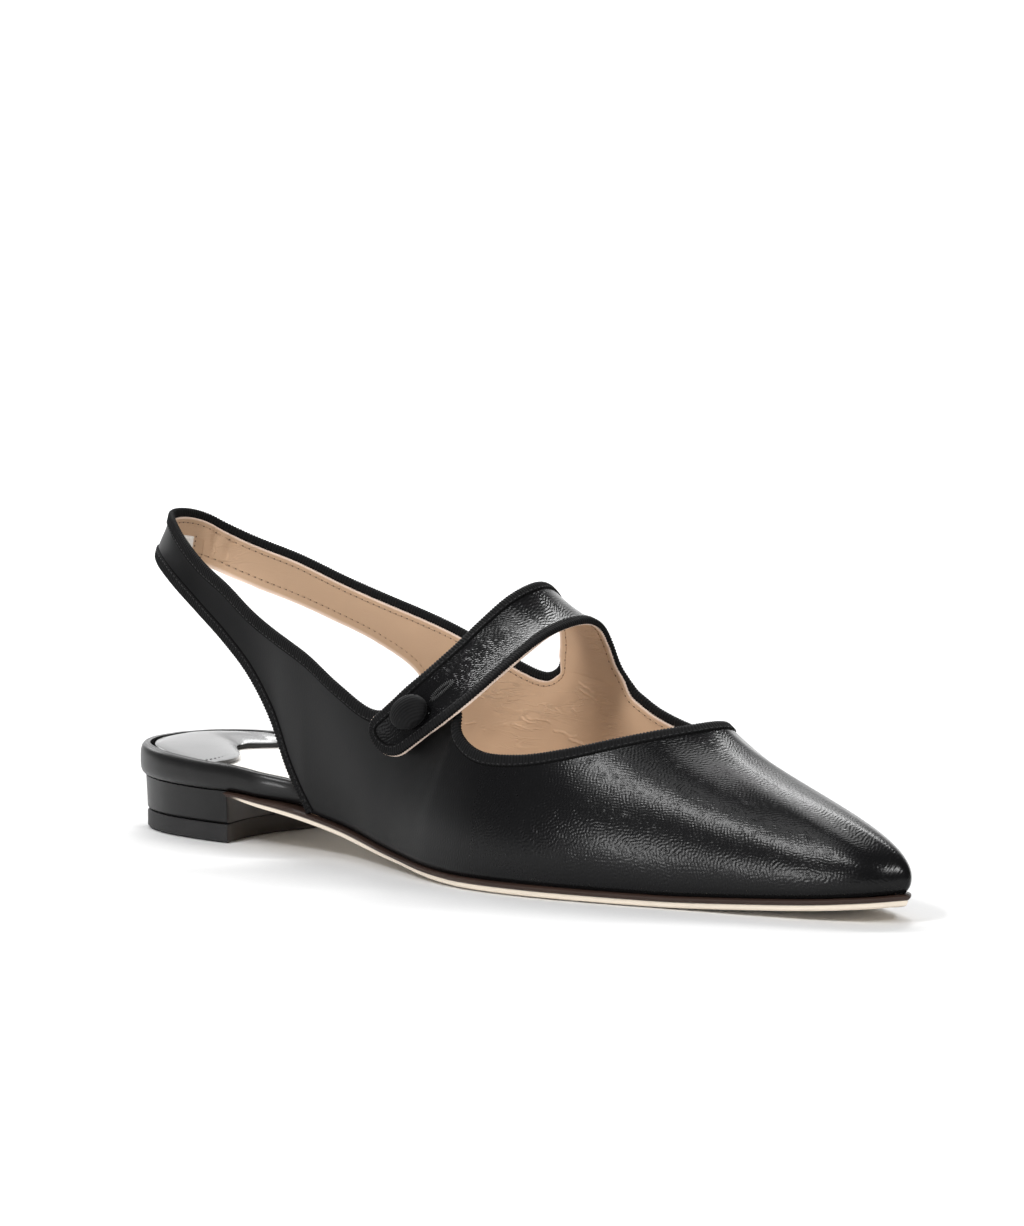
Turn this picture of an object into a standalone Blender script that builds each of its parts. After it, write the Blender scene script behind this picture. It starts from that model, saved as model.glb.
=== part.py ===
"""Slingback pump for the right foot, with a buttoned instep strap and a low block heel.

Frame: +X runs to the toe, +Y to the inner side of the foot and +Z up, with the floor at z = 0.
The tables are a shoe pattern in millimetres. The pattern is graded, in metres, to the driving
dimensions below, so another length, ball width, instep or heel redraws every piece.
"""
import math

import bmesh
import bpy
import numpy as np

# Driving dimensions in metres
SHOE_LENGTH = 0.2585
BALL_WIDTH = 0.0700
INSTEP_HEIGHT = 0.0700
HEEL_HEIGHT = 0.0134
WALL = 0.0015
GAP = 0.0003
FEATHER_GAP = 0.0005

# Sizes of the pattern that the tables are drawn on, in millimetres
PATTERN_LENGTH = 258.5
PATTERN_BALL_WIDTH = 70.0
PATTERN_INSTEP = 70.0
PATTERN_HEEL = 13.4
MILLIMETRE = 0.001

# How finely the pattern is cut into faces
COLUMNS_PER_RIB = 3
ROWS_UP_THE_WALL = 6
ROWS_PER_STRAP_STEP = 2
STATIONS_PER_OUTLINE_ROW = 2
MERGE_DISTANCE = 1e-6

# Ribbon binding folded over the edges of the upper
BINDING_OUTSIDE = 0.0034
BINDING_INSIDE = 0.0014
BINDING_THICKNESS = 0.0005
BINDING_GAP = 0.0004
BINDING_END_TRIM = 0.7

# Heel block and top lift
TOP_LIFT_HEIGHT = 0.0046
BREAST_ROW = 4.64
BREAST_HOLLOW_ROWS = 0.36
BLOCK_INSET_TOP = 0.0014
BLOCK_INSET_BOTTOM = 0.0018

# Outsole
SOLE_PROUD = 0.0006
SOLE_BEVEL = 0.0022
SOLE_EDGE_SHARE = 0.45
SOLE_START_ROWS = 0.05

# Wrapped insole with its raised rim, the sock over it and the heel pad on the sock
SEAT_HEIGHT = 0.0053
RIM_RISE = 0.0028
RIM_RISE_SPAN = (0.0, 0.095)
FOREFOOT_HEIGHT = 0.0030
RIM_FALLS = (0.070, 0.105)
INSET_GROWS = (0.058, 0.072)
INSOLE_INSET = 0.0026
RIM_ROUND = 0.0012
RIM_SWELL = (0.25, 0.75)
LIP_WIDTH = 0.0008
LIP_SLOPE = 0.0005
LIP_DEPTH = 0.0014
LIP_FADES = (0.072, 0.092)
INSOLE_END_ROW = 16.0
SOCK_THICKNESS = 0.0007
SOCK_END_ROW = 15.6
PAD_CLEAR_OF_SOCK = 0.0008
PAD_THICKNESS = 0.0014
PAD_ROUND = 0.0008
PAD_CLEARANCE = 0.0006
PAD_ROWS = (4.05, 2.15)
PAD_CURVE_AT = 0.52
PAD_CURVE_WIDTH = 0.22

# Covered button on the end of the strap, with its shank through the strap
BUTTON_RADIUS = 0.0048
BUTTON_EDGE = 0.0012
BUTTON_DOME = 0.0026
BUTTON_SIDES = 12
BUTTON_RINGS = 4
SHANK_RADIUS = 0.0010
SHANK_LENGTH = 0.0036
BUTTON_ROW = 21
BUTTON_COLUMN = 4.5
SHANK_HOLE_ROWS = (20, 22)
SHANK_HOLE_COLUMNS = (3, 6)

# Free end of the strap
STRAP_END_BOW = 0.0052
STRAP_BOW_STEPS = 2.5

# Elastic insert inside the back of the sling
ELASTIC_THICKNESS = 0.0006
ELASTIC_RIBS = (7, 9)
ELASTIC_ROWS = (1, 4)

# Share of the plan normal in the direction that a rib faces
FAN_WEIGHT = 0.015

OUTER = -1
INNER = 1

# Outline of the lasted upper on the sole: along, outer half width, inner half width
OUTLINE = (
    (0.0, 0.0, 0.0),
    (2.5, 11.0, 11.0),
    (10.0, 20.5, 20.0),
    (22.0, 26.0, 25.0),
    (38.0, 27.5, 26.0),
    (55.0, 26.0, 23.8),
    (72.0, 23.2, 20.5),
    (90.0, 22.8, 18.6),
    (112.0, 27.6, 20.4),
    (132.0, 33.5, 26.0),
    (150.0, 35.9, 31.3),
    (168.0, 34.0, 34.0),
    (186.0, 29.0, 32.4),
    (206.0, 22.2, 26.6),
    (226.0, 16.0, 19.8),
    (243.0, 9.8, 13.2),
    (253.0, 4.0, 7.9),
    (257.7, -2.8, 2.8),
)

# Side view of the sole: along, height of its underside, its thickness (skived away at the heel)
SOLE_PROFILE = (
    (-5.0, 13.2, 0.6),
    (40.0, 12.6, 0.6),
    (52.0, 12.0, 1.2),
    (70.0, 9.4, 1.8),
    (90.0, 6.0, 1.9),
    (110.0, 2.7, 2.1),
    (130.0, 0.7, 2.5),
    (145.0, 0.0, 2.8),
    (155.0, 0.0, 2.9),
    (195.0, 0.0, 2.9),
    (205.0, 0.1, 2.9),
    (220.0, 0.8, 2.9),
    (240.0, 2.0, 2.9),
    (260.0, 3.9, 2.9),
)

# Ribs of the outer side, toe to back of the quarter:
# foot along, top x, top y, top z, lean at foot, rise of foot handle, slope at top, reach of top handle
OUTER_RIBS = (
    (257.7, 194.5, 2.0, 41.4, 34, 18, 42, 21),
    (254.5, 194.2, -1.6, 41.3, 32, 17, 42, 20),
    (245.0, 192.8, -6.0, 40.9, 26, 14, 43, 19),
    (228.0, 189.0, -12.5, 39.9, 18, 13, 45, 16),
    (207.0, 182.5, -19.4, 38.0, 15, 12, 48, 13),
    (186.0, 172.8, -26.1, 35.2, 15, 12, 58, 11),
    (167.0, 160.5, -30.7, 32.9, 14, 10, 68, 9),
    (148.0, 148.6, -32.5, 33.1, 12, 10, 74, 9),
    (134.0, 139.2, -30.3, 37.5, 13, 12, 74, 10),
    (126.5, 137.8, -28.6, 42.3, 13, 13, 74, 12),
    (118.0, 130.6, -27.4, 43.0, 13, 14, 76, 12),
    (110.0, 119.0, -27.9, 41.6, 14, 13, 82, 12),
    (103.0, 108.0, -28.8, 38.8, 15, 13, 88, 11),
    (92.0, 95.0, -29.0, 44.0, 14, 14, 91, 13),
    (78.5, 81.6, -27.9, 50.6, 12, 14, 91, 14),
)

# Ribs of the sling, from the outer quarter round the heel to the inner quarter:
# low x, low y, low z, top x, top y, top z, lean, rise, slope, reach
SLING_RIBS = (
    (71.4, -24.2, 21.8, 74.0, -27.0, 53.3, 6, 11, 89, 11),
    (65.8, -25.0, 33.3, 65.6, -25.6, 56.0, 2, 8, 88, 8),
    (57.4, -25.0, 44.1, 56.6, -24.3, 59.6, 0, 6, 87, 6),
    (46.2, -24.0, 52.2, 46.0, -22.8, 65.1, -2, 5, 87, 5),
    (34.2, -22.2, 58.6, 34.6, -20.6, 69.6, -4, 4, 86, 4),
    (21.4, -19.7, 65.0, 24.0, -17.4, 74.4, -6, 4, 85, 4),
    (12.0, -16.0, 69.0, 15.0, -13.4, 78.6, -8, 4, 83, 4),
    (4.2, -8.8, 70.4, 7.0, -7.2, 80.6, -10, 4, 80, 4),
    (1.8, 0.2, 68.9, 4.0, 0.5, 80.5, -10, 4, 80, 4),
    (2.6, 7.4, 66.9, 3.8, 8.2, 78.6, -6, 4, 82, 4),
    (6.0, 12.9, 64.4, 6.8, 13.3, 75.6, -4, 4, 85, 4),
    (14.2, 16.8, 61.2, 14.2, 17.0, 72.4, -2, 4, 88, 4),
    (27.0, 20.0, 57.5, 27.0, 20.3, 68.7, 0, 4, 90, 4),
    (40.0, 23.0, 53.3, 42.0, 23.0, 63.7, 0, 4, 90, 4),
    (53.0, 25.0, 48.9, 55.0, 24.6, 60.1, 0, 4, 90, 4),
    (68.0, 25.9, 41.7, 70.0, 25.8, 56.4, 0, 5, 90, 5),
    (76.0, 24.9, 31.5, 80.0, 26.3, 53.7, 4, 8, 90, 8),
    (81.0, 22.6, 20.2, 88.0, 26.9, 50.9, 8, 10, 91, 10),
)

# Ribs of the inner side, back of the quarter to the toe, with the columns of OUTER_RIBS
INNER_RIBS = (
    (86.5, 96.0, 27.4, 48.2, 14, 12, 91, 12),
    (95.0, 104.0, 27.8, 45.5, 16, 12, 91, 11),
    (101.0, 109.2, 28.0, 43.6, 17, 12, 90, 11),
    (105.0, 113.0, 28.0, 42.9, 17, 12, 90, 11),
    (109.0, 116.8, 27.9, 45.8, 17, 12, 92, 12),
    (121.0, 126.5, 27.8, 46.4, 17, 12, 95, 12),
    (134.0, 135.5, 27.4, 45.0, 16, 12, 95, 12),
    (144.0, 144.4, 26.8, 42.4, 14, 12, 92, 12),
    (152.0, 152.0, 26.9, 38.8, 13, 11, 82, 10),
    (163.0, 162.4, 27.2, 35.8, 13, 11, 70, 10),
    (179.0, 174.0, 25.2, 35.0, 14, 12, 60, 11),
    (200.0, 184.0, 18.6, 37.6, 15, 12, 48, 13),
    (224.0, 190.4, 12.0, 39.9, 18, 13, 45, 16),
    (243.0, 193.4, 7.4, 40.9, 26, 14, 43, 19),
    (253.5, 194.4, 4.8, 41.3, 32, 17, 42, 20),
)
STRAP_ROOT_RIBS = (4, 7)

# Edges of the instep strap, from its root on the inner side to its free end:
# rear x, rear y, rear z, front x, front y, front z
STRAP_STEPS = (
    (116.8, 27.9, 45.8, 144.4, 26.8, 42.4),
    (118.4, 27.8, 52.0, 138.4, 26.8, 48.5),
    (119.4, 26.2, 58.6, 136.8, 25.4, 54.4),
    (121.4, 22.2, 64.6, 137.4, 21.8, 59.0),
    (125.2, 15.0, 68.8, 139.2, 15.6, 61.4),
    (128.6, 6.5, 69.8, 140.8, 7.5, 61.4),
    (129.4, -3.0, 67.3, 142.4, -2.2, 59.8),
    (128.7, -12.0, 61.9, 144.2, -12.0, 56.6),
    (128.6, -20.0, 56.8, 144.4, -21.2, 51.9),
    (126.9, -26.9, 51.7, 142.7, -29.4, 46.2),
    (122.5, -31.1, 46.4, 136.6, -32.9, 40.5),
    (117.4, -32.5, 41.6, 129.5, -33.6, 35.8),
    (112.4, -32.9, 38.0, 123.2, -34.0, 31.8),
)


def grade(points):
    """Turn pattern points in millimetres into metres at the driving dimensions."""
    scale = (SHOE_LENGTH / PATTERN_LENGTH, BALL_WIDTH / PATTERN_BALL_WIDTH, INSTEP_HEIGHT / PATTERN_INSTEP)
    return np.asarray(points, float) * np.array(scale)


def through(rows, at, closed=False):
    """Read a smooth curve through the rows at fractional row numbers; chord roots keep it even."""
    rows = np.asarray(rows, float)
    last = len(rows) if closed else len(rows) - 1
    if closed:
        knots = np.vstack([rows[-1:], rows, rows[:2]])
    else:
        knots = np.vstack([2 * rows[0] - rows[1], rows, 2 * rows[-1] - rows[-2]])
    at = np.asarray(at, float)
    index = np.clip(np.floor(at).astype(int), 0, last - 1)
    share = (at - index)[:, None]
    before, start, end, after = (knots[index + step] for step in range(4))

    def root(one, other):
        return np.sqrt(np.maximum(np.linalg.norm(other - one, axis=1, keepdims=True), 1e-9))

    a, b, c = root(before, start), root(start, end), root(end, after)
    leave = (end - start) + b * ((start - before) / a - (end - before) / (a + b))
    arrive = (end - start) + b * ((after - end) / c - (after - start) / (b + c))
    square, cube = share ** 2, share ** 3
    return ((2 * cube - 3 * square + 1) * start + (cube - 2 * square + share) * leave
            + (3 * square - 2 * cube) * end + (cube - square) * arrive)


def steps(first, last, per_row):
    """Even row numbers from first to last, both included."""
    return np.linspace(first, last, max(1, round((last - first) * per_row)) + 1)


def unit(vectors):
    """Scale each vector to length one."""
    return vectors / np.maximum(np.linalg.norm(vectors, axis=-1, keepdims=True), 1e-12)


def ease(value, span):
    """Smooth 0 to 1 as the value crosses the span."""
    share = np.clip((np.asarray(value) - span[0]) / (span[1] - span[0]), 0, 1)
    return share * share * (3 - 2 * share)


def outline_side(side, at):
    """Plan points of one side of the outline in metres, at fractional table rows."""
    column = 1 if side == OUTER else 2
    rows = [(row[0], side * row[column], 0.0) for row in OUTLINE]
    return grade(through(rows, at))[:, :2]


def sole_height(along, share):
    """Height in metres inside the sole: share 0 is its underside and 1 the seat that it gives."""
    rows = np.array(SOLE_PROFILE)
    dense = through(rows, steps(0, len(rows) - 1, 24))
    pattern_x = np.asarray(along) * PATTERN_LENGTH / SHOE_LENGTH
    under = np.interp(pattern_x, dense[:, 0], dense[:, 1]) * HEEL_HEIGHT / PATTERN_HEEL
    thickness = np.interp(pattern_x, dense[:, 0], dense[:, 2]) * MILLIMETRE
    return np.maximum(under, 0) + share * thickness


def foot_columns(ribs, side):
    """Foot points of one side's columns, spaced along the outline by the ribs' own feet."""
    plan = outline_side(side, steps(0, len(OUTLINE) - 1, 60))
    run = np.concatenate([[0.0], np.cumsum(np.linalg.norm(np.diff(plan, axis=0), axis=1))])
    feet = np.array([rib[0] for rib in ribs]) * SHOE_LENGTH / PATTERN_LENGTH
    rib_runs = np.interp(feet, plan[:, 0], run)
    where = through(rib_runs[:, None], steps(0, len(ribs) - 1, COLUMNS_PER_RIB))[:, 0]
    x = np.interp(where, run, plan[:, 0])
    y = np.interp(where, run, plan[:, 1])
    return np.column_stack([x, y, sole_height(x, 1) + FEATHER_GAP])


def lasted_ring():
    """Points of the lasted upper, rows up the wall by columns from the toe round the outer side."""
    outer = foot_columns(OUTER_RIBS, OUTER)
    inner = foot_columns(INNER_RIBS + OUTER_RIBS[:1], INNER)
    low_rows = np.vstack([outer[-1:], grade([rib[:3] for rib in SLING_RIBS]), inner[:1]])
    sling = through(low_rows, steps(0, len(low_rows) - 1, COLUMNS_PER_RIB))
    foot = np.vstack([outer[:-1], sling[:-1], inner[:-1]])

    ribs = OUTER_RIBS + SLING_RIBS + INNER_RIBS
    at = steps(0, len(ribs), COLUMNS_PER_RIB)[:-1]
    top = grade(through([rib[-7:-4] for rib in ribs], at, closed=True))
    lean, rise, slope, reach = through([rib[-4:] for rib in ribs], at, closed=True).T[:, :, None]
    lean, slope = np.radians(lean), np.radians(slope)
    rise, reach = rise * MILLIMETRE, reach * MILLIMETRE

    turn = np.roll(foot, -1, axis=0) - np.roll(foot, 1, axis=0)
    plan_normal = unit(np.column_stack([-turn[:, 1], turn[:, 0]]))
    facing = unit(plan_normal * FAN_WEIGHT + (foot - top)[:, :2])
    facing = np.column_stack([facing, np.zeros(len(facing))])
    up = np.array([0.0, 0.0, 1.0])
    foot_handle = foot + rise * (np.sin(lean) * facing + np.cos(lean) * up)
    top_handle = top + reach * (np.cos(slope) * facing - np.sin(slope) * up)
    t = np.linspace(0, 1, ROWS_UP_THE_WALL + 1)[:, None, None]
    return ((1 - t) ** 3 * foot + 3 * (1 - t) ** 2 * t * foot_handle
            + 3 * (1 - t) * t ** 2 * top_handle + t ** 3 * top)


def strap_grid(root):
    """Rows of the instep strap above its root row; the last rows bow out into a round end."""
    at = steps(0, len(STRAP_STEPS) - 1, ROWS_PER_STRAP_STEP)
    rear = grade(through([step[:3] for step in STRAP_STEPS], at))
    front = grade(through([step[3:] for step in STRAP_STEPS], at))
    along = unit(np.gradient((rear + front) / 2, axis=0))
    even = np.linspace(0, 1, len(root))
    crowded = (1 - np.cos(np.pi * even)) / 2
    rows = [root]
    for row in range(1, len(at)):
        bow = ease(at[row], (at[-1] - STRAP_BOW_STEPS, at[-1] + 1e-6))
        share = (even + (crowded - even) * bow)[:, None]
        arc = np.sqrt(np.maximum(0, 1 - (2 * share - 1) ** 2)) * bow * STRAP_END_BOW
        rows.append(rear[row] * (1 - share) + front[row] * share + along[row] * arc)
    return np.array(rows)


def grid_faces(index):
    """Quads of a grid of vertex numbers, rows up and columns across, facing up-cross-columns."""
    faces = []
    for row in range(len(index) - 1):
        for column in range(len(index[0]) - 1):
            faces.append((index[row][column], index[row + 1][column],
                          index[row + 1][column + 1], index[row][column + 1]))
    return faces


def sheet_normals(points, faces):
    """Vertex normals of a sheet of quads."""
    corner = points[np.array(faces)]
    normal = np.cross(corner[:, 2] - corner[:, 0], corner[:, 3] - corner[:, 1])
    normals = np.zeros_like(points)
    for place in range(4):
        np.add.at(normals, np.array(faces)[:, place], normal)
    return unit(normals)


class UpperSheet:
    """Outer face of the upper: the lasted ring with the instep strap growing from its inner side."""

    def __init__(self):
        ring = lasted_ring()
        self.rows, self.columns = ring.shape[:2]
        first_inner = len(OUTER_RIBS) + len(SLING_RIBS)
        self.root = [COLUMNS_PER_RIB * (first_inner + rib) for rib in STRAP_ROOT_RIBS]
        root_row = [self.at(self.rows - 1, column) for column in range(self.root[0], self.root[1] + 1)]
        ring_points = ring.reshape(-1, 3)
        strap = strap_grid(ring_points[root_row])
        self.points = np.vstack([ring_points, strap[1:].reshape(-1, 3)])

        numbers = np.arange(strap[1:].shape[0] * strap.shape[1]) + len(ring_points)
        self.strap = [root_row] + numbers.reshape(strap.shape[0] - 1, strap.shape[1]).tolist()
        self.ring = [[self.at(row, column) for column in range(self.columns + 1)] for row in range(self.rows)]
        ring_faces = grid_faces(self.ring)
        strap_faces = grid_faces(self.strap)
        self.normals = sheet_normals(self.points, ring_faces + strap_faces)
        across = len(root_row) - 1
        hole = {row * across + column for row in range(*SHANK_HOLE_ROWS) for column in range(*SHANK_HOLE_COLUMNS)}
        self.faces = ring_faces + [face for number, face in enumerate(strap_faces) if number not in hole]

    def at(self, row, column):
        """Vertex number of a ring point."""
        return row * self.columns + column % self.columns

    def topline(self):
        """The open edge from the throat round the sling and out along the strap, with points inside it."""
        top, below = self.rows - 1, self.rows - 2
        start, end = self.root
        edge = [(self.at(top, column), self.at(below, column)) for column in range(start)]
        edge.append((self.at(top, start), self.at(below, start + 1)))
        last = len(self.strap) - 1
        edge += [(self.strap[row][0], self.strap[row][1]) for row in range(1, last)]
        edge.append((self.strap[last][0], self.strap[last - 1][1]))
        edge += [(self.strap[last][column], self.strap[last - 1][column])
                 for column in range(1, len(self.strap[0]) - 1)]
        edge.append((self.strap[last][-1], self.strap[last - 1][-2]))
        edge += [(self.strap[row][-1], self.strap[row][-2]) for row in range(last - 1, 0, -1)]
        edge.append((self.at(top, end), self.at(below, end - 1)))
        edge += [(self.at(top, column), self.at(below, column)) for column in range(end + 1, self.columns)]
        return edge

    def sling_edge(self):
        """The lower edge of the sling, from the outer quarter's heel end to the inner quarter's."""
        first = COLUMNS_PER_RIB * (len(OUTER_RIBS) - 1)
        last = COLUMNS_PER_RIB * (len(OUTER_RIBS) + len(SLING_RIBS))
        return [(self.at(0, column), self.at(1, column)) for column in range(first, last + 1)]


def wall_of(points, faces, normals, outer, inner):
    """Closed wall between two offsets of a sheet, with each open edge walled."""
    count = len(points)
    vertices = np.vstack([points + normals * outer, points + normals * inner])
    edges = {edge for face in faces for edge in zip(face, face[1:] + face[:1])}
    rims = [(b, a, a + count, b + count) for a, b in sorted(edges) if (b, a) not in edges]
    inside = [tuple(corner + count for corner in reversed(face)) for face in faces]
    return vertices, list(faces) + inside + rims


def folded_ribbon(sheet, edge, closed):
    """Ribbon folded over an edge of the upper, a gap clear of it on both faces."""
    path = sheet.points[[outer for outer, inside in edge]]
    inside = sheet.points[[inside for outer, inside in edge]]
    normals = sheet.normals[[outer for outer, inside in edge]]
    if not closed:
        for end, beside in ((0, 1), (-1, -2)):
            for rows in (path, inside, normals):
                rows[end] += (rows[beside] - rows[end]) * BINDING_END_TRIM
    if closed:
        tangent = unit(np.roll(path, -1, axis=0) - np.roll(path, 1, axis=0))
    else:
        tangent = unit(np.gradient(path, axis=0))
    away = path - inside
    away = unit(away - np.sum(away * tangent, axis=1, keepdims=True) * tangent)
    out = normals - np.sum(normals * tangent, axis=1, keepdims=True) * tangent
    out = unit(out - np.sum(out * away, axis=1, keepdims=True) * away)
    near, far = BINDING_GAP, BINDING_GAP + BINDING_THICKNESS
    section = ((-BINDING_OUTSIDE, near), (-BINDING_OUTSIDE, far), (far, far), (far, -WALL - far),
               (-BINDING_INSIDE, -WALL - far), (-BINDING_INSIDE, -WALL - near), (near, -WALL - near), (near, near))
    loops = np.stack([path + away * a + out * b for a, b in section], axis=1)
    return tube_of(loops, closed)


def tube_of(loops, closed):
    """Closed body through loops of equal count, joined end to end or capped."""
    stations, sides = loops.shape[:2]
    faces = []
    for station in range(stations if closed else stations - 1):
        following = (station + 1) % stations
        for side in range(sides):
            beside = (side + 1) % sides
            faces.append((station * sides + side, station * sides + beside,
                          following * sides + beside, following * sides + side))
    if not closed:
        faces.append(tuple(reversed(range(sides))))
        faces.append(tuple(range((stations - 1) * sides, stations * sides)))
    return loops.reshape(-1, 3), faces


def side_normals(outer, inner):
    """Plan normals of both sides of an outline, turned to one direction where the sides meet."""
    outer_turn, inner_turn = np.gradient(outer, axis=0), np.gradient(inner, axis=0)
    outer_normal = unit(np.column_stack([outer_turn[:, 1], -outer_turn[:, 0]]))
    inner_normal = unit(np.column_stack([-inner_turn[:, 1], inner_turn[:, 0]]))
    meet = np.linalg.norm(outer - inner, axis=1) < MERGE_DISTANCE
    outer_normal[meet] = unit((outer_normal + inner_normal)[meet])
    inner_normal[meet] = outer_normal[meet]
    return outer_normal, inner_normal


def slab(first, last, layers, across):
    """Closed body on the outline, built in layers of (inset, height) from below.

    first and last give the outline row where each line across the foot starts and ends.
    """
    share = np.linspace(0, 1, across + 1)
    starts, ends = first(share), last(share)
    count = round((np.max(ends) - np.min(starts)) * STATIONS_PER_OUTLINE_ROW) + 1
    grids = []
    for inset, height in layers:
        lines = []
        for s, start, end in zip(share, starts, ends):
            at = np.linspace(start, end, count)
            outer, inner = outline_side(OUTER, at), outline_side(INNER, at)
            outer_normal, inner_normal = side_normals(outer, inner)
            outer = outer - outer_normal * inset(outer[:, :1])
            inner = inner - inner_normal * inset(inner[:, :1])
            plan = outer * (1 - s) + inner * s
            lines.append(np.column_stack([plan, height(plan[:, 0])]))
        grids.append(np.stack(lines, axis=1))
    points = np.array(grids)
    layer_size = points.shape[1] * points.shape[2]
    index = np.arange(layer_size).reshape(points.shape[1], points.shape[2])
    border = np.concatenate([index[0, :-1], index[:-1, -1], index[-1, :0:-1], index[:0:-1, 0]])
    faces = [tuple(face) for face in grid_faces(index)]
    top = (len(layers) - 1) * layer_size
    faces += [tuple(corner + top for corner in reversed(face)) for face in faces]
    for layer in range(len(layers) - 1):
        low, high = border + layer * layer_size, border + (layer + 1) * layer_size
        faces += list(zip(low, np.roll(low, -1), np.roll(high, -1), high))
    return points.reshape(-1, 3), faces


def constant(value):
    """A function that gives the same value everywhere."""
    return lambda place: np.zeros_like(place, dtype=float) + value


def breast_rows(share):
    """Outline row of the hollow heel breast across the foot."""
    return BREAST_ROW - BREAST_HOLLOW_ROWS * (1 - (2 * share - 1) ** 2)


def seat(x):
    """Top of the sole and of the heel block."""
    return sole_height(x, 1)


def insole_base(x):
    """Underside of the insole."""
    return seat(x) + GAP


def insole_height(x):
    """Thickness of the insole: a deep seat at the heel, thin inside the upper."""
    return SEAT_HEIGHT + (FOREFOOT_HEIGHT - SEAT_HEIGHT) * ease(x, RIM_FALLS)


def rim_height(x):
    """Height of the wrapped rim, which rises over the seat towards the back of the heel."""
    return insole_height(x) + RIM_RISE * (1 - ease(x, RIM_RISE_SPAN))


def insole_floor(x):
    """Tray inside the insole's lip, where the sock lies."""
    return insole_base(x) + insole_height(x) - LIP_DEPTH * (1 - ease(x, LIP_FADES))


def insole_inset(extra, lip=0.0):
    """Inset from the outline: flush at the heel, inside the upper further on, where the lip ends."""
    return lambda x: extra + INSOLE_INSET * ease(x, INSET_GROWS) + lip * (1 - ease(x, LIP_FADES))


def build_outsole():
    """Leather sole from the heel breast to the toe, bevelled below and a little proud of the upper."""
    layers = (
        (constant(SOLE_BEVEL), lambda x: sole_height(x, 0)),
        (constant(0.0), lambda x: sole_height(x, SOLE_EDGE_SHARE)),
        (constant(-SOLE_PROUD), lambda x: sole_height(x, 1)),
    )
    return slab(lambda share: breast_rows(share) + SOLE_START_ROWS, constant(len(OUTLINE) - 1), layers, 4)


def build_heel_block():
    """Covered heel block with a hollow breast, on the top lift."""
    layers = (
        (constant(BLOCK_INSET_BOTTOM), constant(TOP_LIFT_HEIGHT + GAP)),
        (constant(BLOCK_INSET_TOP), seat),
    )
    return slab(constant(0), breast_rows, layers, 4)


def build_top_lift():
    """Flat wearing piece under the heel block."""
    layers = (
        (constant(BLOCK_INSET_BOTTOM), constant(0.0)),
        (constant(BLOCK_INSET_BOTTOM), constant(TOP_LIFT_HEIGHT)),
    )
    return slab(constant(0), breast_rows, layers, 4)


def build_insole():
    """Wrapped insole: a rounded rim round the bare heel seat, and a thin board inside the upper."""
    def level(share):
        return lambda x: insole_base(x) + rim_height(x) * share
    layers = (
        (insole_inset(RIM_ROUND), level(0.0)),
        (insole_inset(0.0), level(RIM_SWELL[0])),
        (insole_inset(0.0), level(RIM_SWELL[1])),
        (insole_inset(RIM_ROUND), level(1.0)),
        (insole_inset(RIM_ROUND + LIP_SLOPE, LIP_WIDTH), level(1.0)),
        (insole_inset(RIM_ROUND + 2 * LIP_SLOPE, LIP_WIDTH), insole_floor),
    )
    return slab(constant(0), constant(INSOLE_END_ROW), layers, 4)


def build_foot_sock():
    """Pale sock over the insole's tray."""
    inset = insole_inset(RIM_ROUND + 2 * LIP_SLOPE + GAP, LIP_WIDTH)
    layers = (
        (inset, lambda x: insole_floor(x) + GAP),
        (inset, lambda x: insole_floor(x) + GAP + SOCK_THICKNESS),
    )
    return slab(constant(0), constant(SOCK_END_ROW), layers, 2)


def build_heel_pad():
    """Shiny pad on the sock, its front edge in an S from the outer to the inner side."""
    def ends(share):
        swing = (1 + np.tanh((share - PAD_CURVE_AT) / PAD_CURVE_WIDTH)) / 2
        return PAD_ROWS[0] + (PAD_ROWS[1] - PAD_ROWS[0]) * swing

    def level(height):
        return lambda x: insole_floor(x) + GAP + SOCK_THICKNESS + PAD_CLEAR_OF_SOCK + height
    inset = RIM_ROUND + 2 * LIP_SLOPE + PAD_CLEARANCE
    layers = (
        (insole_inset(inset, LIP_WIDTH), level(0.0)),
        (insole_inset(inset, LIP_WIDTH), level(PAD_THICKNESS - PAD_ROUND)),
        (insole_inset(inset + PAD_ROUND, LIP_WIDTH), level(PAD_THICKNESS)),
    )
    return slab(constant(0), ends, layers, 6)


def build_button(sheet):
    """Domed button over the strap, its shank through the strap to the outer quarter."""
    column = int(BUTTON_COLUMN)
    corners = [sheet.strap[BUTTON_ROW][column], sheet.strap[BUTTON_ROW][column + 1]]
    centre = sheet.points[corners].mean(axis=0)
    axis = unit(sheet.normals[corners].mean(axis=0))
    side = unit(np.cross(axis, np.array([0.0, 0.0, 1.0])))
    other = np.cross(axis, side)
    base = BINDING_GAP + BINDING_THICKNESS + 2 * GAP
    profile = [(SHANK_RADIUS, -SHANK_LENGTH), (SHANK_RADIUS, base), (BUTTON_RADIUS - BUTTON_EDGE / 2, base)]
    for ring in range(BUTTON_RINGS + 1):
        angle = math.pi / 2 * ring / (BUTTON_RINGS + 1)
        profile.append((BUTTON_RADIUS * math.cos(angle), base + BUTTON_EDGE + BUTTON_DOME * math.sin(angle)))
    turns = np.linspace(0, 2 * math.pi, BUTTON_SIDES, endpoint=False)[:, None]
    round_about = np.cos(turns) * side + np.sin(turns) * other
    loops = np.stack([centre + round_about * radius + axis * height for radius, height in profile])
    return tube_of(loops, False)


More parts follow.
